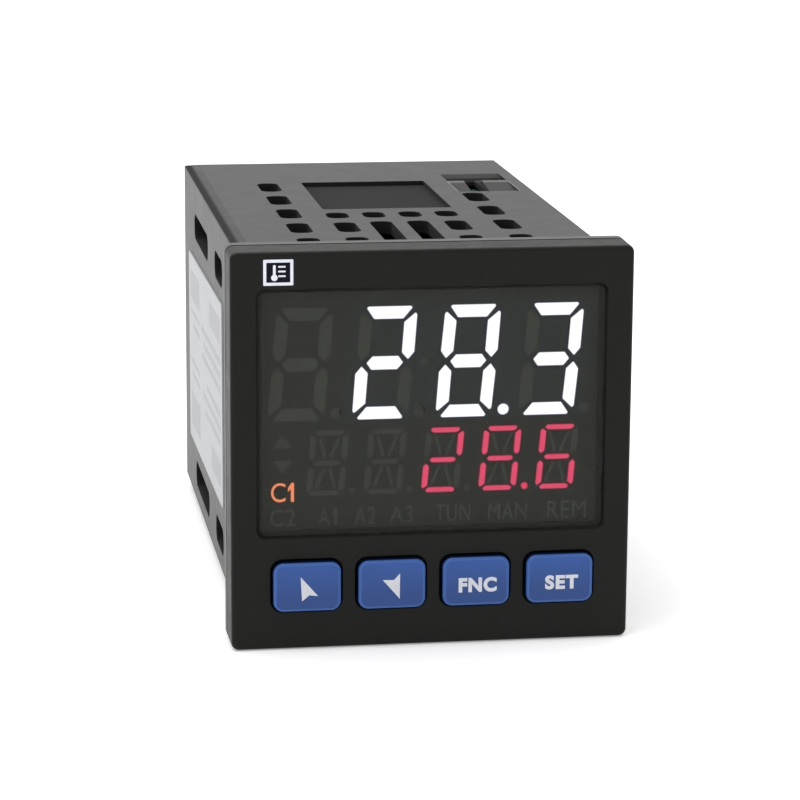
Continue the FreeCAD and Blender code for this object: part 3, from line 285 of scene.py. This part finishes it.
COVER = grained("rear_cover_plastic", (0.019, 0.0195, 0.019), (0.026, 0.0265, 0.025), 0.42, 0.55, 0.5, grain=0.2, depth=0.006)
HEADER = grained("header_plastic", (0.012, 0.012, 0.012), (0.018, 0.018, 0.017), 0.4, 0.55, 0.5, grain=0.1)
PLUNGER = grained("plunger_plastic", (0.012, 0.012, 0.012), (0.018, 0.018, 0.017), 0.35, 0.5, 0.5)
SWITCH = grained("switch_plastic", (0.014, 0.014, 0.015), (0.022, 0.022, 0.022), 0.4, 0.55, 0.5)
GASKET = grained("gasket_rubber", (0.008, 0.008, 0.008), (0.014, 0.014, 0.014), 0.7, 0.85, 0.3, grain=0.3, depth=0.02)
SEAL = grained("silicone", (0.10, 0.10, 0.105), (0.14, 0.14, 0.145), 0.55, 0.7, 0.4, grain=0.25, depth=0.01)
CHIP = grained("chip_epoxy_mat", (0.010, 0.010, 0.010), (0.015, 0.015, 0.015), 0.45, 0.6, 0.45, grain=0.08)
RELAY = grained("relay_plastic", (0.012, 0.012, 0.013), (0.016, 0.016, 0.017), 0.3, 0.42, 0.5, grain=0.3)
FERRITE = grained("ferrite_mat", (0.020, 0.020, 0.022), (0.040, 0.040, 0.042), 0.6, 0.8, 0.4, grain=0.25, depth=0.02)
TERMINAL = grained("terminal_plastic", (0.012, 0.150, 0.048), (0.017, 0.190, 0.062), 0.36, 0.5, 0.5, grain=0.18, depth=0.006)

# light block behind the window, with a painted glow of the lit digits' blue on it (emission standing in for their
# light)
m = Mat("light_block_mat")
slow = m.noise(140.0, 2.0, 0.5)
m.color(m.ramp(slow, [(0.3, (0.0188, 0.0208, 0.0152)), (0.7, (0.0202, 0.0222, 0.0166))]))
m.rough(m.spread(slow, 0.60, 0.66, 0.35, 0.65))
X, Y, Z = m.xyz()
lean = m.math("SUBTRACT", X, m.math("MULTIPLY", m.math("SUBTRACT", Z, 10.3 * MM), 0.0867))
# painted light: a faint blue emission where the lit digits would light the block
digit_glow_painted_light = m.math("MULTIPLY", m.within(lean, -9.0 * MM, 17.8 * MM, 2.4 * MM), m.within(Z, 3.9 * MM, 16.7 * MM, 1.8 * MM))
m.link(m.ramp(digit_glow_painted_light, [(0.0, 0.0), (1.0, (0.0012, 0.0028, 0.0062))]), m.bsdf.inputs["Emission Color"])
m.set(Specular_IOR_Level=0.3, Emission_Strength=1.0)
LIGHT_BLOCK = m

# smoked window
m = Mat("smoked_window")
slow = m.noise(180.0, 3.0, 0.6)
m.color(m.ramp(slow, [(0.3, (0.0160, 0.0178, 0.0128)), (0.7, (0.0174, 0.0192, 0.0142))]))
m.rough(m.spread(m.noise(400.0, 3.0, 0.6), 0.11, 0.15, 0.3, 0.7))
m.set(Alpha=0.22, Specular_IOR_Level=0.38)
X, Y, Z = m.xyz()
WINDOW = m



def unlit(name, a, b):
    """Cast resin that is not lit."""
    k = Mat(name)
    k.color(k.ramp(k.noise(500.0, 2.0, 0.5), [(0.3, a), (0.7, b)]))
    k.rough(k.spread(k.noise(700.0), 0.55, 0.62, 0.35, 0.65))
    k.set(Specular_IOR_Level=0.3)
    return k


# unlit cast resin: the large digits, the small ones, the legends
UNLIT = unlit("segment_unlit", (0.052, 0.056, 0.045), (0.058, 0.062, 0.050))
UNLIT_SMALL = unlit("segment_unlit_small", (0.050, 0.054, 0.043), (0.056, 0.060, 0.048))
LEGEND_UNLIT = unlit("legend_unlit", (0.058, 0.063, 0.050), (0.065, 0.070, 0.056))


def lit(name, core, middle, rim, strength, body=(0.3, 0.3, 0.32)):
    """A lit segment: brightest in its middle, falling off at its rim."""
    k = Mat(name)
    k.color(k.ramp(k.noise(1500.0), [(0.3, body), (0.7, tuple(1.15 * c for c in body))]))
    k.link(
        k.ramp(k.attr("core"), [(0.0, rim), (0.45, middle), (1.0, core)]),
        k.bsdf.inputs["Emission Color"],
    )
    k.set(Emission_Strength=strength, Roughness=0.5)
    return k


LIT_WHITE = lit("segment_lit_white", (1.0, 1.0, 1.0), (0.80, 0.82, 0.97), (0.006, 0.008, 0.055), 1.75, (0.012, 0.012, 0.03))
LIT_RED = lit("segment_lit_red", (0.98, 0.052, 0.165), (0.86, 0.030, 0.115), (0.055, 0.001, 0.004), 1.2, (0.03, 0.012, 0.014))
LIT_ORANGE = lit("legend_lit_orange", (0.98, 0.25, 0.088), (0.80, 0.15, 0.045), (0.3, 0.03, 0.010), 1.42, (0.08, 0.05, 0.03))

# keys: satin blue; the side walls painted nearly black as shade, the lower part painted darker as shade, the front rim
# painted lighter as a highlight
m = Mat("key_plastic")
slow = m.noise(260.0, 3.0, 0.6)
fine = m.noise(6500.0, 2.0, 0.6)
X, Y, Z = m.xyz()
# painted shade: the side walls nearly black
walls_painted_shade = m.within(Y, -6.98 * MM, 5.0 * MM, 0.10 * MM)
# painted highlight: the rounded front rim coloured lighter
rim = m.within(Y, -7.37 * MM, -7.12 * MM, 0.03 * MM)
base = m.ramp(slow, [(0.3, (0.0185, 0.068, 0.258)), (0.7, (0.0225, 0.078, 0.292))])
# painted shade: the lower part of the keys coloured darker
low = m.within(Z, -26.0 * MM, -17.9 * MM, 4.6 * MM)
base = m.mix(m.math("MULTIPLY", low, 0.80), base, (0.0155, 0.050, 0.185))
base = m.mix(rim, base, (0.034, 0.104, 0.350))
m.color(m.mix(walls_painted_shade, base, (0.0030, 0.0055, 0.018)))
m.rough(m.spread(m.math("ADD", m.math("MULTIPLY", slow, 0.5), m.math("MULTIPLY", fine, 0.5)), 0.36, 0.48, 0.35, 0.65))
m.bump(fine, 0.3, 0.004 * MM)
m.set(Specular_IOR_Level=0.32)
KEY = m

m = Mat("white_print")
m.color(m.ramp(m.noise(900.0, 4.0, 0.6), [(0.3, (0.53, 0.545, 0.58)), (0.7, (0.60, 0.61, 0.64))]))
m.rough(m.spread(m.noise(3000.0), 0.42, 0.55, 0.35, 0.65))
m.set(Specular_IOR_Level=0.4)
WHITE_PRINT = m

m = Mat("badge_field_mat")
m.color(m.ramp(m.noise(900.0, 4.0, 0.6), [(0.3, (0.0045, 0.0055, 0.0110)), (0.7, (0.0060, 0.0070, 0.0140))]))
m.rough(m.spread(m.noise(3000.0), 0.35, 0.45, 0.35, 0.65))
m.set(Specular_IOR_Level=0.06)
BADGE_FIELD = m

m = Mat("badge_white_mat")
m.color(m.ramp(m.noise(900.0, 4.0, 0.6), [(0.3, (0.66, 0.68, 0.76)), (0.7, (0.76, 0.78, 0.84))]))
m.rough(m.spread(m.noise(3000.0), 0.35, 0.45, 0.35, 0.65))
BADGE_WHITE = m

m = Mat("label_film_mat")
slow = m.noise(90.0, 4.0, 0.6)
fine = m.noise(2500.0, 3.0, 0.6)
m.color(m.ramp(slow, [(0.3, (0.358, 0.366, 0.380)), (0.7, (0.402, 0.410, 0.424))]))
m.rough(m.spread(fine, 0.38, 0.5, 0.35, 0.65))
m.bump(slow, 0.4, 0.03 * MM)
LABEL = m

m = Mat("label_ink")
m.color(m.ramp(m.noise(2500.0, 4.0, 0.6), [(0.3, (0.295, 0.302, 0.315)), (0.7, (0.335, 0.342, 0.355))]))
m.rough(m.spread(m.noise(2500.0), 0.4, 0.55, 0.35, 0.65))
LABEL_INK = m

# circuit boards: solder mask over tracks
m = Mat("board_mask")
tracks = m.n.new("ShaderNodeTexBrick")
tracks.offset = 0.37
tracks.offset_frequency = 2
tracks.squash = 1.6
tracks.squash_frequency = 3
tracks.inputs["Scale"].default_value = 420.0
tracks.inputs["Mortar Size"].default_value = 0.035
tracks.inputs["Color1"].default_value = (0.0040, 0.042, 0.0175, 1)
tracks.inputs["Color2"].default_value = (0.0050, 0.048, 0.0205, 1)
tracks.inputs["Mortar"].default_value = (0.0085, 0.080, 0.0330, 1)
mp = m.n.new("ShaderNodeMapping")
mp.inputs["Rotation"].default_value = (0.0, math.radians(90), 0.0)
m.link(m.obj, mp.inputs["Vector"])
m.link(mp.outputs["Vector"], tracks.inputs["Vector"])
m.color(tracks.outputs["Color"])
m.rough(m.spread(m.noise(1200.0), 0.24, 0.36, 0.35, 0.65))
m.bump(tracks.outputs["Fac"], 0.3, 0.03 * MM)
BOARD = m

m = Mat("winding_tape_mat")
m.color(m.ramp(m.noise(500.0, 3.0, 0.6, stretch=(1, 1, 6)), [(0.3, (0.50, 0.30, 0.03)), (0.7, (0.62, 0.40, 0.05))]))
m.rough(m.spread(m.noise(900.0), 0.22, 0.35, 0.35, 0.65))
WINDING = m

m = Mat("capacitor_sleeve_mat")
X, Y, Z = m.xyz()
m.color(m.ramp(m.noise(300.0, 3.0, 0.6), [(0.3, (0.006, 0.010, 0.030)), (0.7, (0.010, 0.014, 0.042))]))
m.rough(m.spread(m.noise(1200.0), 0.2, 0.32, 0.35, 0.65))
SLEEVE = m

m = Mat("film_capacitor_mat")
m.color(m.ramp(m.noise(500.0, 3.0, 0.6), [(0.3, (0.55, 0.42, 0.12)), (0.7, (0.66, 0.52, 0.17))]))
m.rough(m.spread(m.noise(900.0), 0.25, 0.4, 0.35, 0.65))
FILM_CAP = m


def metal(name, a, b, r0, r1, scale=1500.0, stretch=None, bump=0.004):
    k = Mat(name)
    n1 = k.noise(scale, 4.0, 0.6, stretch=stretch)
    k.color(k.ramp(n1, [(0.3, a), (0.7, b)]))
    k.rough(k.spread(n1, r0, r1, 0.3, 0.7))
    k.bump(n1, 0.35, bump * MM)
    k.set(Metallic=1.0)
    return k


TIN = metal("tin_plate", (0.62, 0.61, 0.58), (0.72, 0.71, 0.68), 0.28, 0.42)
ZINC = metal("zinc_plate", (0.56, 0.57, 0.59), (0.70, 0.71, 0.73), 0.22, 0.36, 2200.0, (1, 0.2, 1))
NICKEL = metal("nickel_plate", (0.58, 0.56, 0.50), (0.70, 0.68, 0.61), 0.22, 0.36, 1800.0)

BY_SLOT = {
    "bezel_black": BEZEL, "case_black": HOUSING, "smoked_lens": WINDOW, "badge_print": BADGE_FIELD, "key_blue": KEY,
    "plunger_black": PLUNGER, "switch_body": SWITCH, "silicone_grey": SEAL, "light_block": LIGHT_BLOCK,
    "segment_white": UNLIT, "segment_red": UNLIT, "segment_orange": LIGHT_BLOCK, "board_green": BOARD,
    "header_black": HEADER, "ferrite": FERRITE, "winding_tape": WINDING, "capacitor_sleeve": SLEEVE,
    "relay_case": RELAY, "film_capacitor": FILM_CAP, "chip_epoxy": CHIP, "gasket_rubber": GASKET,
    "label_film": LABEL, "contact_tin": TIN, "terminal_green": TERMINAL, "screw_zinc": ZINC, "clamp_metal": NICKEL,
}
slot_of = {s["node"]: s["material_slot"] for s in frame["record"]["subparts"]}
for name, o in frame["nodes"].items():
    use = COVER if name == "rear_cover" else BY_SLOT[slot_of[name]]
    o.data.materials.clear()
    o.data.materials.append(use.m)

# ------------------------------------------------------------------ mesh helpers


def add(name, mesh, body, slot, *mats):
    o = bpy.data.objects.new(name, mesh)
    scene.collection.objects.link(o)
    for k in mats:
        o.data.materials.append(k.m)
    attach(o, body)
    return o


def rounded_outline(pts, r, n=3):
    """The closed outline pts with each corner replaced by an arc of radius r (or less, where an edge is short)."""
    out = []
    k = len(pts)
    for i in range(k):
        p = Vector(pts[i])
        a = Vector(pts[i - 1]) - p
        b = Vector(pts[(i + 1) % k]) - p
        la, lb = a.length, b.length
        a.normalize()
        b.normalize()
        ang = math.acos(max(-1.0, min(1.0, a.dot(b))))
        if ang > 3.1:
            out.append(p)
            continue
        d = min(r / math.tan(ang / 2), 0.42 * la, 0.42 * lb)
        rr = d * math.tan(ang / 2)
        mid = (a + b).normalized()
        centre = p + mid * (rr / math.sin(ang / 2))
        s = p + a * d - centre
        e = p + b * d - centre
        a0 = math.atan2(s.y, s.x)
        a1 = math.atan2(e.y, e.x)
        while a1 - a0 > math.pi:
            a1 -= 2 * math.pi
        while a1 - a0 < -math.pi:
            a1 += 2 * math.pi
        for j in range(n + 1):
            t = a0 + (a1 - a0) * j / n
            out.append(centre + Vector((math.cos(t), math.sin(t))) * rr)
    return out


def outward(pts, d):
    """A convex outline moved outward by d (inward if negative)."""
    k = len(pts)
    area = sum(pts[i][0] * pts[(i + 1) % k][1] - pts[(i + 1) % k][0] * pts[i][1] for i in range(k))
    s = 1.0 if area > 0 else -1.0
    out = []
    for i in range(k):
        p0, p1, p2 = Vector(pts[i - 1]), Vector(pts[i]), Vector(pts[(i + 1) % k])
        e1 = (p1 - p0).normalized()
        e2 = (p2 - p1).normalized()
        n1 = Vector((e1.y, -e1.x)) * s
        n2 = Vector((e2.y, -e2.x)) * s
        m = n1 + n2
        m = m / max(1e-9, m.dot(n1)) if m.length > 1e-6 else n1
        if m.length > 2.2:
            m = m.normalized() * 2.2
        out.append(p1 + m * d)
    return out


def loft(bm, rings, core=None, mat_index=0):
    """A closed solid from rings of (x, z) outlines in mm at given y: caps at both ends. core is a value for each ring."""
    layer = bm.verts.layers.float.get("core") or bm.verts.layers.float.new("core")
    made = []
    for j, (y, pts) in enumerate(rings):
        row = []
        for p in pts:
            v = bm.verts.new((p[0] * MM, y * MM, p[1] * MM))
            v[layer] = core[j] if core else 0.0
            row.append(v)
        made.append(row)
    k = len(made[0])
    faces = [bm.faces.new(made[0]), bm.faces.new(list(reversed(made[-1])))]
    for a, b in zip(made, made[1:]):
        for i in range(k):
            faces.append(bm.faces.new((a[i], b[i], b[(i + 1) % k], a[(i + 1) % k])))
    for f in faces:
        f.material_index = mat_index
    return faces


def finish_mesh(bm, name):
    bmesh.ops.recalc_face_normals(bm, faces=bm.faces)
    me = bpy.data.meshes.new(name)
    bm.to_mesh(me)
    bm.free()
    return me


def plate(bm, pts, y0, y1, edge=0.0, mat_index=0):
    """A thin plate between y0 (front) and y1, its front rim drawn in by edge."""
    if edge:
        return loft(bm, [(y0, outward(pts, -edge)), (y0 + edge * 0.7, pts), (y1, pts)], None, mat_index)
    return loft(bm, [(y0, pts), (y1, pts)], None, mat_index)


def rect(cx, cz, w, h):
    return [(cx - w / 2, cz - h / 2), (cx + w / 2, cz - h / 2), (cx + w / 2, cz + h / 2), (cx - w / 2, cz + h / 2)]


def disc(cx, cz, r, n=24):
    return [(cx + r * math.cos(2 * math.pi * i / n), cz + r * math.sin(2 * math.pi * i / n)) for i in range(n)]


def lettering(text, x0, x1, z0, z1, y0, y1, weight=0.0, spacing=1.0, stretch=True):
    """Plain sans characters as a closed mesh that fills x0..x1 and z0..z1 (mm), between y0 and y1."""
    cu = bpy.data.curves.new("t", "FONT")
    cu.body = text
    cu.size = 1.0
    cu.offset = weight
    cu.space_character = spacing
    cu.extrude = 0.5
    cu.resolution_u = 6
    o = bpy.data.objects.new("t", cu)
    scene.collection.objects.link(o)
    bpy.context.view_layer.update()
    me = bpy.data.meshes.new_from_object(o.evaluated_get(bpy.context.evaluated_depsgraph_get()))
    bpy.data.objects.remove(o)
    bpy.data.curves.remove(cu)
    xs = [v.co.x for v in me.vertices]
    ys = [v.co.y for v in me.vertices]
    ax, bx, ay, by = min(xs), max(xs), min(ys), max(ys)
    sz = (z1 - z0) / (by - ay)
    sx = (x1 - x0) / (bx - ax) if stretch else sz
    mid = (x0 + x1) / 2
    for v in me.vertices:
        x, y, z = v.co
        px = mid + (x - (ax + bx) / 2) * sx
        pz = z0 + (y - ay) * sz
        py = y0 if z > 0 else y1
        v.co = (px * MM, py * MM, pz * MM)
    return me


def add_letters(bm, me, mat_index=0, core=None):
    start = len(bm.verts)
    before = set(bm.faces)
    bm.from_mesh(me)
    bpy.data.meshes.remove(me)
    layer = bm.verts.layers.float.get("core") or bm.verts.layers.float.new("core")
    bm.verts.ensure_lookup_table()
    for v in bm.verts[start:]:
        v[layer] = 1.0 if core is None else core
    for f in bm.faces:
        if f not in before:
            f.material_index = mat_index


# ------------------------------------------------------------------ digits behind the window

FACE = -4.85
TOP = [(-2.74, 6.55), (-2.52, 6.78), (2.52, 6.78), (2.74, 6.55), (1.74, 5.22), (-1.74, 5.22)]
UPPER_RIGHT = [(3.12, 6.0), (3.36, 5.72), (3.42, 1.25), (2.72, 0.32), (1.88, 1.2), (1.84, 4.85)]
MIDDLE = [(-2.2, 0), (-1.55, .83), (1.55, .83), (2.2, 0), (1.55, -.83), (-1.55, -.83)]
S_TOP = [(-1.78, 3.6), (-1.6, 3.95), (1.6, 3.95), (1.78, 3.6), (1.4, 3.3), (-1.4, 3.3)]
S_RIGHT = [(2.1, 3.5), (2.3, 3.2), (2.3, .75), (1.95, .4), (1.55, .8), (1.55, 3.1)]
S_MIDDLE = [(-1.62, 0), (-1.3, .32), (1.3, .32), (1.62, 0), (1.3, -.32), (-1.3, -.32)]
S_DIAGONAL = [(.22, .62), (.5, .62), (1.22, 2.75), (1.22, 3.05), (.94, 3.05), (.22, .95)]
LEAN = 0.0867


def mirrored(pts, sx, sz):
    out = [(p[0] * sx, p[1] * sz) for p in pts]
    return list(reversed(out)) if sx * sz < 0 else out


def at(pts, cx, cz):
    return [(cx + p[0] + LEAN * p[1], cz + p[1]) for p in pts]


def segment(bm, pts, is_lit, corner, dark=0):
    """One bar or point: lit, softly domed; unlit, flush with the light block and a little narrower."""
    if is_lit:
        pts = rounded_outline(pts, corner, 3)
        loft(
            bm,
            [
                (FACE - 0.034, outward(pts, -0.14)),
                (FACE - 0.030, outward(pts, -0.07)),
                (FACE - 0.026, outward(pts, -0.045)),
                (FACE - 0.014, outward(pts, 0.04)),
                (FACE + 0.002, outward(pts, 0.04)),
                (FACE + 2.0, pts),
            ],
            [1.0, 0.9, 0.1, 0.0, 0.0, 0.0],
            1,
        )
    else:
        pts = rounded_outline(pts, corner, 3)
        loft(bm, [(FACE - 0.004, outward(pts, -0.05)), (FACE + 0.02, pts), (FACE + 2.0, pts)], [1.0, 0.5, 0.0], dark)


SEVEN = {"2": "abged", "8": "abcdefg", "3": "abgcd", "6": "afgedc"}
big = {
    "a": TOP, "d": mirrored(TOP, 1, -1), "b": UPPER_RIGHT, "c": mirrored(UPPER_RIGHT, 1, -1),
    "f": mirrored(UPPER_RIGHT, -1, 1), "e": mirrored(UPPER_RIGHT, -1, -1), "g": MIDDLE,
}
bm = bmesh.new()
for i, shown in enumerate([None, "2", "8", "3"]):
    cx, cz = -15.48 + 9.95 * i, 10.22
    on = SEVEN.get(shown, "")
    for key, pts in big.items():
        segment(bm, at(pts, cx, cz), key in on, 0.13)
for k in range(4):
    cx = -15.48 + 9.95 * k
    segment(bm, disc(cx + 4.77 - LEAN * 5.95, 10.22 - 5.95, 0.7, 28), k == 2, 0.0)
segment(bm, disc(-15.48 + 9.95 + 4.7, 10.27, 0.5, 24), False, 0.0)
upper = add("upper_digits", finish_mesh(bm, "upper_digits"), ROOT, "segment_white", UNLIT, LIT_WHITE)
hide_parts("upper_digit_segments")

small = {
    "a": S_TOP, "d": mirrored(S_TOP, 1, -1), "b": S_RIGHT, "c": mirrored(S_RIGHT, 1, -1),
    "f": mirrored(S_RIGHT, -1, 1), "e": mirrored(S_RIGHT, -1, -1), "g": S_MIDDLE,
    "h": S_DIAGONAL, "i": mirrored(S_DIAGONAL, -1, 1), "j": mirrored(S_DIAGONAL, 1, -1), "k": mirrored(S_DIAGONAL, -1, -1),
}
bm = bmesh.new()
for i, shown in enumerate([None, None, "2", "8", "6"]):
    cx, cz = -12.3 + 6.89 * i, -1.69
    on = SEVEN.get(shown, "")
    for key, pts in small.items():
        segment(bm, at(pts, cx, cz), key in on, 0.05 if key in "hijk" else 0.06)
for k in range(4):
    cx = -12.3 + 6.89 * k
    segment(bm, disc(cx + 3.3 - LEAN * 3.5, -1.69 - 3.5, 0.42, 20), k == 3, 0.0)
lower = add("lower_digits", finish_mesh(bm, "lower_digits"), ROOT, "segment_red", UNLIT_SMALL, LIT_RED)
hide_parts("lower_digit_segments")


def seen(xp, zp):
    """A point on the face plane to the point just behind the window that shows there."""
    return xp + 0.17 + 0.003 * xp, zp - 0.25 + 0.003 * zp


ONE = [(0.46, 0.0), (0.78, 0.0), (0.78, 1.0), (0.54, 1.0), (0.16, 0.74), (0.16, 0.52), (0.46, 0.70)]


def mark(bm, text, x0, x1, z0, z1, y0, y1, weight, mat_index, core):
    """Two or three plain characters; a trailing one gets a flag, which the built-in face leaves out."""
    if text.endswith("1"):
        cut = x0 + 0.56 * (x1 - x0)
        add_letters(bm, lettering(text[:-1], x0, cut, z0, z1, y0, y1, weight, 1.0), mat_index, core)
        w = x1 - cut
        pts = [(cut + w * (0.08 + 0.86 * p[0]), z0 + p[1] * (z1 - z0)) for p in ONE]
        for f in loft(bm, [(y0, pts), (y1, pts)], [core, core], mat_index):
            f.material_index = mat_index
    else:
        add_letters(bm, lettering(text, x0, x1, z0, z1, y0, y1, weight, 1.06), mat_index, core)


bm = bmesh.new()
x0, z0 = seen(-19.1, -6.0)
x1, z1 = seen(-16.3, -3.7)
mark(bm, "C1", x0, x1 + 0.25, z0, z1, FACE - 0.03, FACE + 0.02, 0.0, 1, 1.0)
for word, xa, xb in (("C2", -19.2, -16.2), ("A1", -13.5, -11.0), ("A2", -9.2, -6.7), ("A3", -5.0, -2.2), ("TUN", 0.5, 4.7), ("MAN", 6.9, 11.5), ("REM", 14.0, 18.7)):
    x0, z0 = seen(xa, -9.0)
    x1, z1 = seen(xb, -6.9)
    mark(bm, word, x0, x1, z0, z1, FACE - 0.02, FACE + 0.02, 0.0, 0, 0.0)
for tri in ([(-18.75, .25), (-16.45, .25), (-17.6, 1.8)], [(-18.75, -1.25), (-17.6, -2.8), (-16.45, -1.25)]):
    plate(bm, rounded_outline(tri, 0.08, 2), FACE - 0.015, FACE + 0.02, 0.0, 2)
legends = add("legend_films", finish_mesh(bm, "legend_films"), ROOT, "segment_orange", LEGEND_UNLIT, LIT_ORANGE, UNLIT)

# ------------------------------------------------------------------ print on the keys

KEY_FRONT = -7.4


def key_print(name, body, build):
    k = bmesh.new()
    build(k)
    return add(name, finish_mesh(k, name), body, "badge_print", WHITE_PRINT)


def arrow(points):
    def build(k):
        loft(k, [(KEY_FRONT - 0.02, points), (KEY_FRONT + 0.03, points)])
    return build


def word(text, xa, xb, za, zb, spacing):
    def build(k):
        add_letters(k, lettering(text, xa, xb, za, zb, KEY_FRONT - 0.02, KEY_FRONT + 0.03, 0.050, spacing))
    return build


key_print("up_arrow_print", "up_key", arrow([(-15.79, -14.81), (-13.72, -17.19), (-14.76, -17.07), (-15.62, -17.78)]))
key_print("down_arrow_print", "down_key", arrow([(-3.93, -14.76), (-4.65, -15.56), (-6.0, -15.53), (-3.96, -17.87)]))
key_print("function_print", "function_key", word("FNC", 3.12, 7.72, -17.42, -15.60, 1.12))
key_print("set_print", "set_key", word("SET", 13.58, 17.6, -17.42, -15.66, 1.15))

# ------------------------------------------------------------------ rating plate: plain fields, no print

bm = bmesh.new()
plate_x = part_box("side_label")[0][0] / MM
tc, ts = math.cos(math.radians(1.4)), math.sin(math.radians(1.4))
for a0, a1, b0, b1 in (
    (-21.0, -7.0, 7.6, 10.8), (-21.0, 5.0, 4.9, 5.7), (-21.0, 1.5, 3.1, 3.9), (-21.0, 4.0, 1.3, 2.1),
    (-21.0, -3.0, -1.9, -1.1), (-21.0, 2.5, -3.7, -2.9), (-21.0, -1.0, -5.5, -4.7), (-21.0, -9.0, -10.8, -7.8),
    (8.0, 21.0, 6.9, 10.8), (8.0, 21.0, 4.9, 5.5), (8.0, 17.5, 3.1, 3.7), (8.0, 21.0, -2.0, -1.4),
    (8.0, 19.0, -3.8, -3.2), (8.0, 21.0, -10.8, -6.2),
):
    ends = []
    for x in (plate_x - 0.012, plate_x + 0.02):
        ring = []
        for a, b in ((a0, b0), (a1, b0), (a1, b1), (a0, b1)):
            ring.append(bm.verts.new((x * MM, (42.9 + a * tc + b * ts) * MM, (-0.7 - a * ts + b * tc) * MM)))
        ends.append(ring)
    bm.faces.new(ends[0])
    bm.faces.new(ends[1][::-1])
    for k in range(4):
        bm.faces.new((ends[0][k], ends[1][k], ends[1][(k + 1) % 4], ends[0][(k + 1) % 4]))
bmesh.ops.recalc_face_normals(bm, faces=bm.faces)
fields = bpy.data.meshes.new("label_fields")
bm.to_mesh(fields)
bm.free()
add("label_fields", fields, "instrument", "label_film", LABEL_INK)

# ------------------------------------------------------------------ badge: framed plate with a plain thermometer mark

bm = bmesh.new()
cx, cz = -18.25, 21.5
w, h = 3.5, 3.05
outer = rounded_outline(rect(cx, cz, w, h), 0.08, 2)
plate(bm, outer, -6.42, -6.21, 0.02, 0)
plate(bm, rounded_outline(rect(cx, cz, w - 0.72, h - 0.72), 0.05, 2), -6.432, -6.40, 0.0, 1)
stem = rounded_outline([(cx - 0.62, cz - 0.55), (cx - 0.30, cz - 0.55), (cx - 0.30, cz + 0.9), (cx - 0.62, cz + 0.9)], 0.155, 5)
plate(bm, stem, -6.445, -6.42, 0.0, 0)
plate(bm, disc(cx - 0.46, cz - 0.60, 0.38, 20), -6.446, -6.42, 0.0, 0)
for k in range(3):
    plate(bm, rect(cx + 0.42, cz + 0.68 - 0.55 * k, 0.85, 0.2), -6.445, -6.42, 0.0, 0)
badge = add("badge_plate", finish_mesh(bm, "badge_plate"), ROOT, "badge_print", BADGE_WHITE, BADGE_FIELD)
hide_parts("front_badge")

# ------------------------------------------------------------------ stage

fb = bmesh.new()
floor_z = cad_box[0][2]
n = 24
for i in range(n + 1):
    for j in range(n + 1):
        fb.verts.new((-6.0 + 12.0 * i / n, -6.0 + 12.0 * j / n, floor_z))
fb.verts.ensure_lookup_table()
for i in range(n):
    for j in range(n):
        a = i * (n + 1) + j
        fb.faces.new([fb.verts[a], fb.verts[a + n + 1], fb.verts[a + n + 2], fb.verts[a + 1]])
fm = bpy.data.meshes.new("floor")
fb.to_mesh(fm)
fb.free()
floor = bpy.data.objects.new("floor", fm)
scene.collection.objects.link(floor)
m = Mat("floor_paper")
m.color(m.ramp(m.noise(6.0, 3.0, 0.5), [(0.3, (0.90, 0.90, 0.90)), (0.7, (0.92, 0.92, 0.92))]))
m.bsdf.inputs["Emission Color"].default_value = (1.0, 1.0, 1.0, 1.0)
m.set(Roughness=0.9, Specular_IOR_Level=0.1, Emission_Strength=0.24)
floor.data.materials.append(m.m)

world = bpy.data.worlds.new("studio")
scene.world = world
world.use_nodes = True
wn = world.node_tree.nodes
bg = wn["Background"]
bg.inputs["Color"].default_value = (1.0, 1.0, 1.0, 1.0)
bg.inputs["Strength"].default_value = 0.90


def area(name, loc, target, size, power, color=(1, 1, 1)):
    li = bpy.data.lights.new(name, "AREA")
    li.shape = "RECTANGLE"
    li.size, li.size_y = size
    li.energy = power
    li.color = color
    o = bpy.data.objects.new(name, li)
    o.location = loc
    o.rotation_euler = (Vector(target) - Vector(loc)).to_track_quat("-Z", "Y").to_euler()
    scene.collection.objects.link(o)
    return o


area("top_softbox", (-0.15, 0.25, 0.9), (0, 0.03, 0), (0.9, 0.9), 3.2)
area("front_softbox", (-0.30, -0.16, 0.85), (0, 0.0, 0), (0.5, 0.4), 1.6)

cam = bpy.data.cameras.new("camera")
cam.lens = 138.58
cam.sensor_width = 36.0
cam.shift_x = -0.00075
cam.shift_y = 0.000875
cam.clip_start = 0.01
cam.clip_end = 50.0
camera = bpy.data.objects.new("camera", cam)
R = Matrix.Rotation(math.radians(-8.783), 3, "Z") @ Matrix.Rotation(math.radians(-12.562), 3, "X") @ Matrix.Rotation(math.radians(-0.384), 3, "Y")
right, forward, up = R.col[0], R.col[1], R.col[2]
M = Matrix((
    (right[0], up[0], -forward[0], -0.05768),
    (right[1], up[1], -forward[1], -0.35476),
    (right[2], up[2], -forward[2], 0.0845),
    (0, 0, 0, 1),
))
camera.matrix_world = M
scene.collection.objects.link(camera)
scene.camera = camera
scene.view_settings.view_transform = "Standard"
scene.view_settings.look = "None"
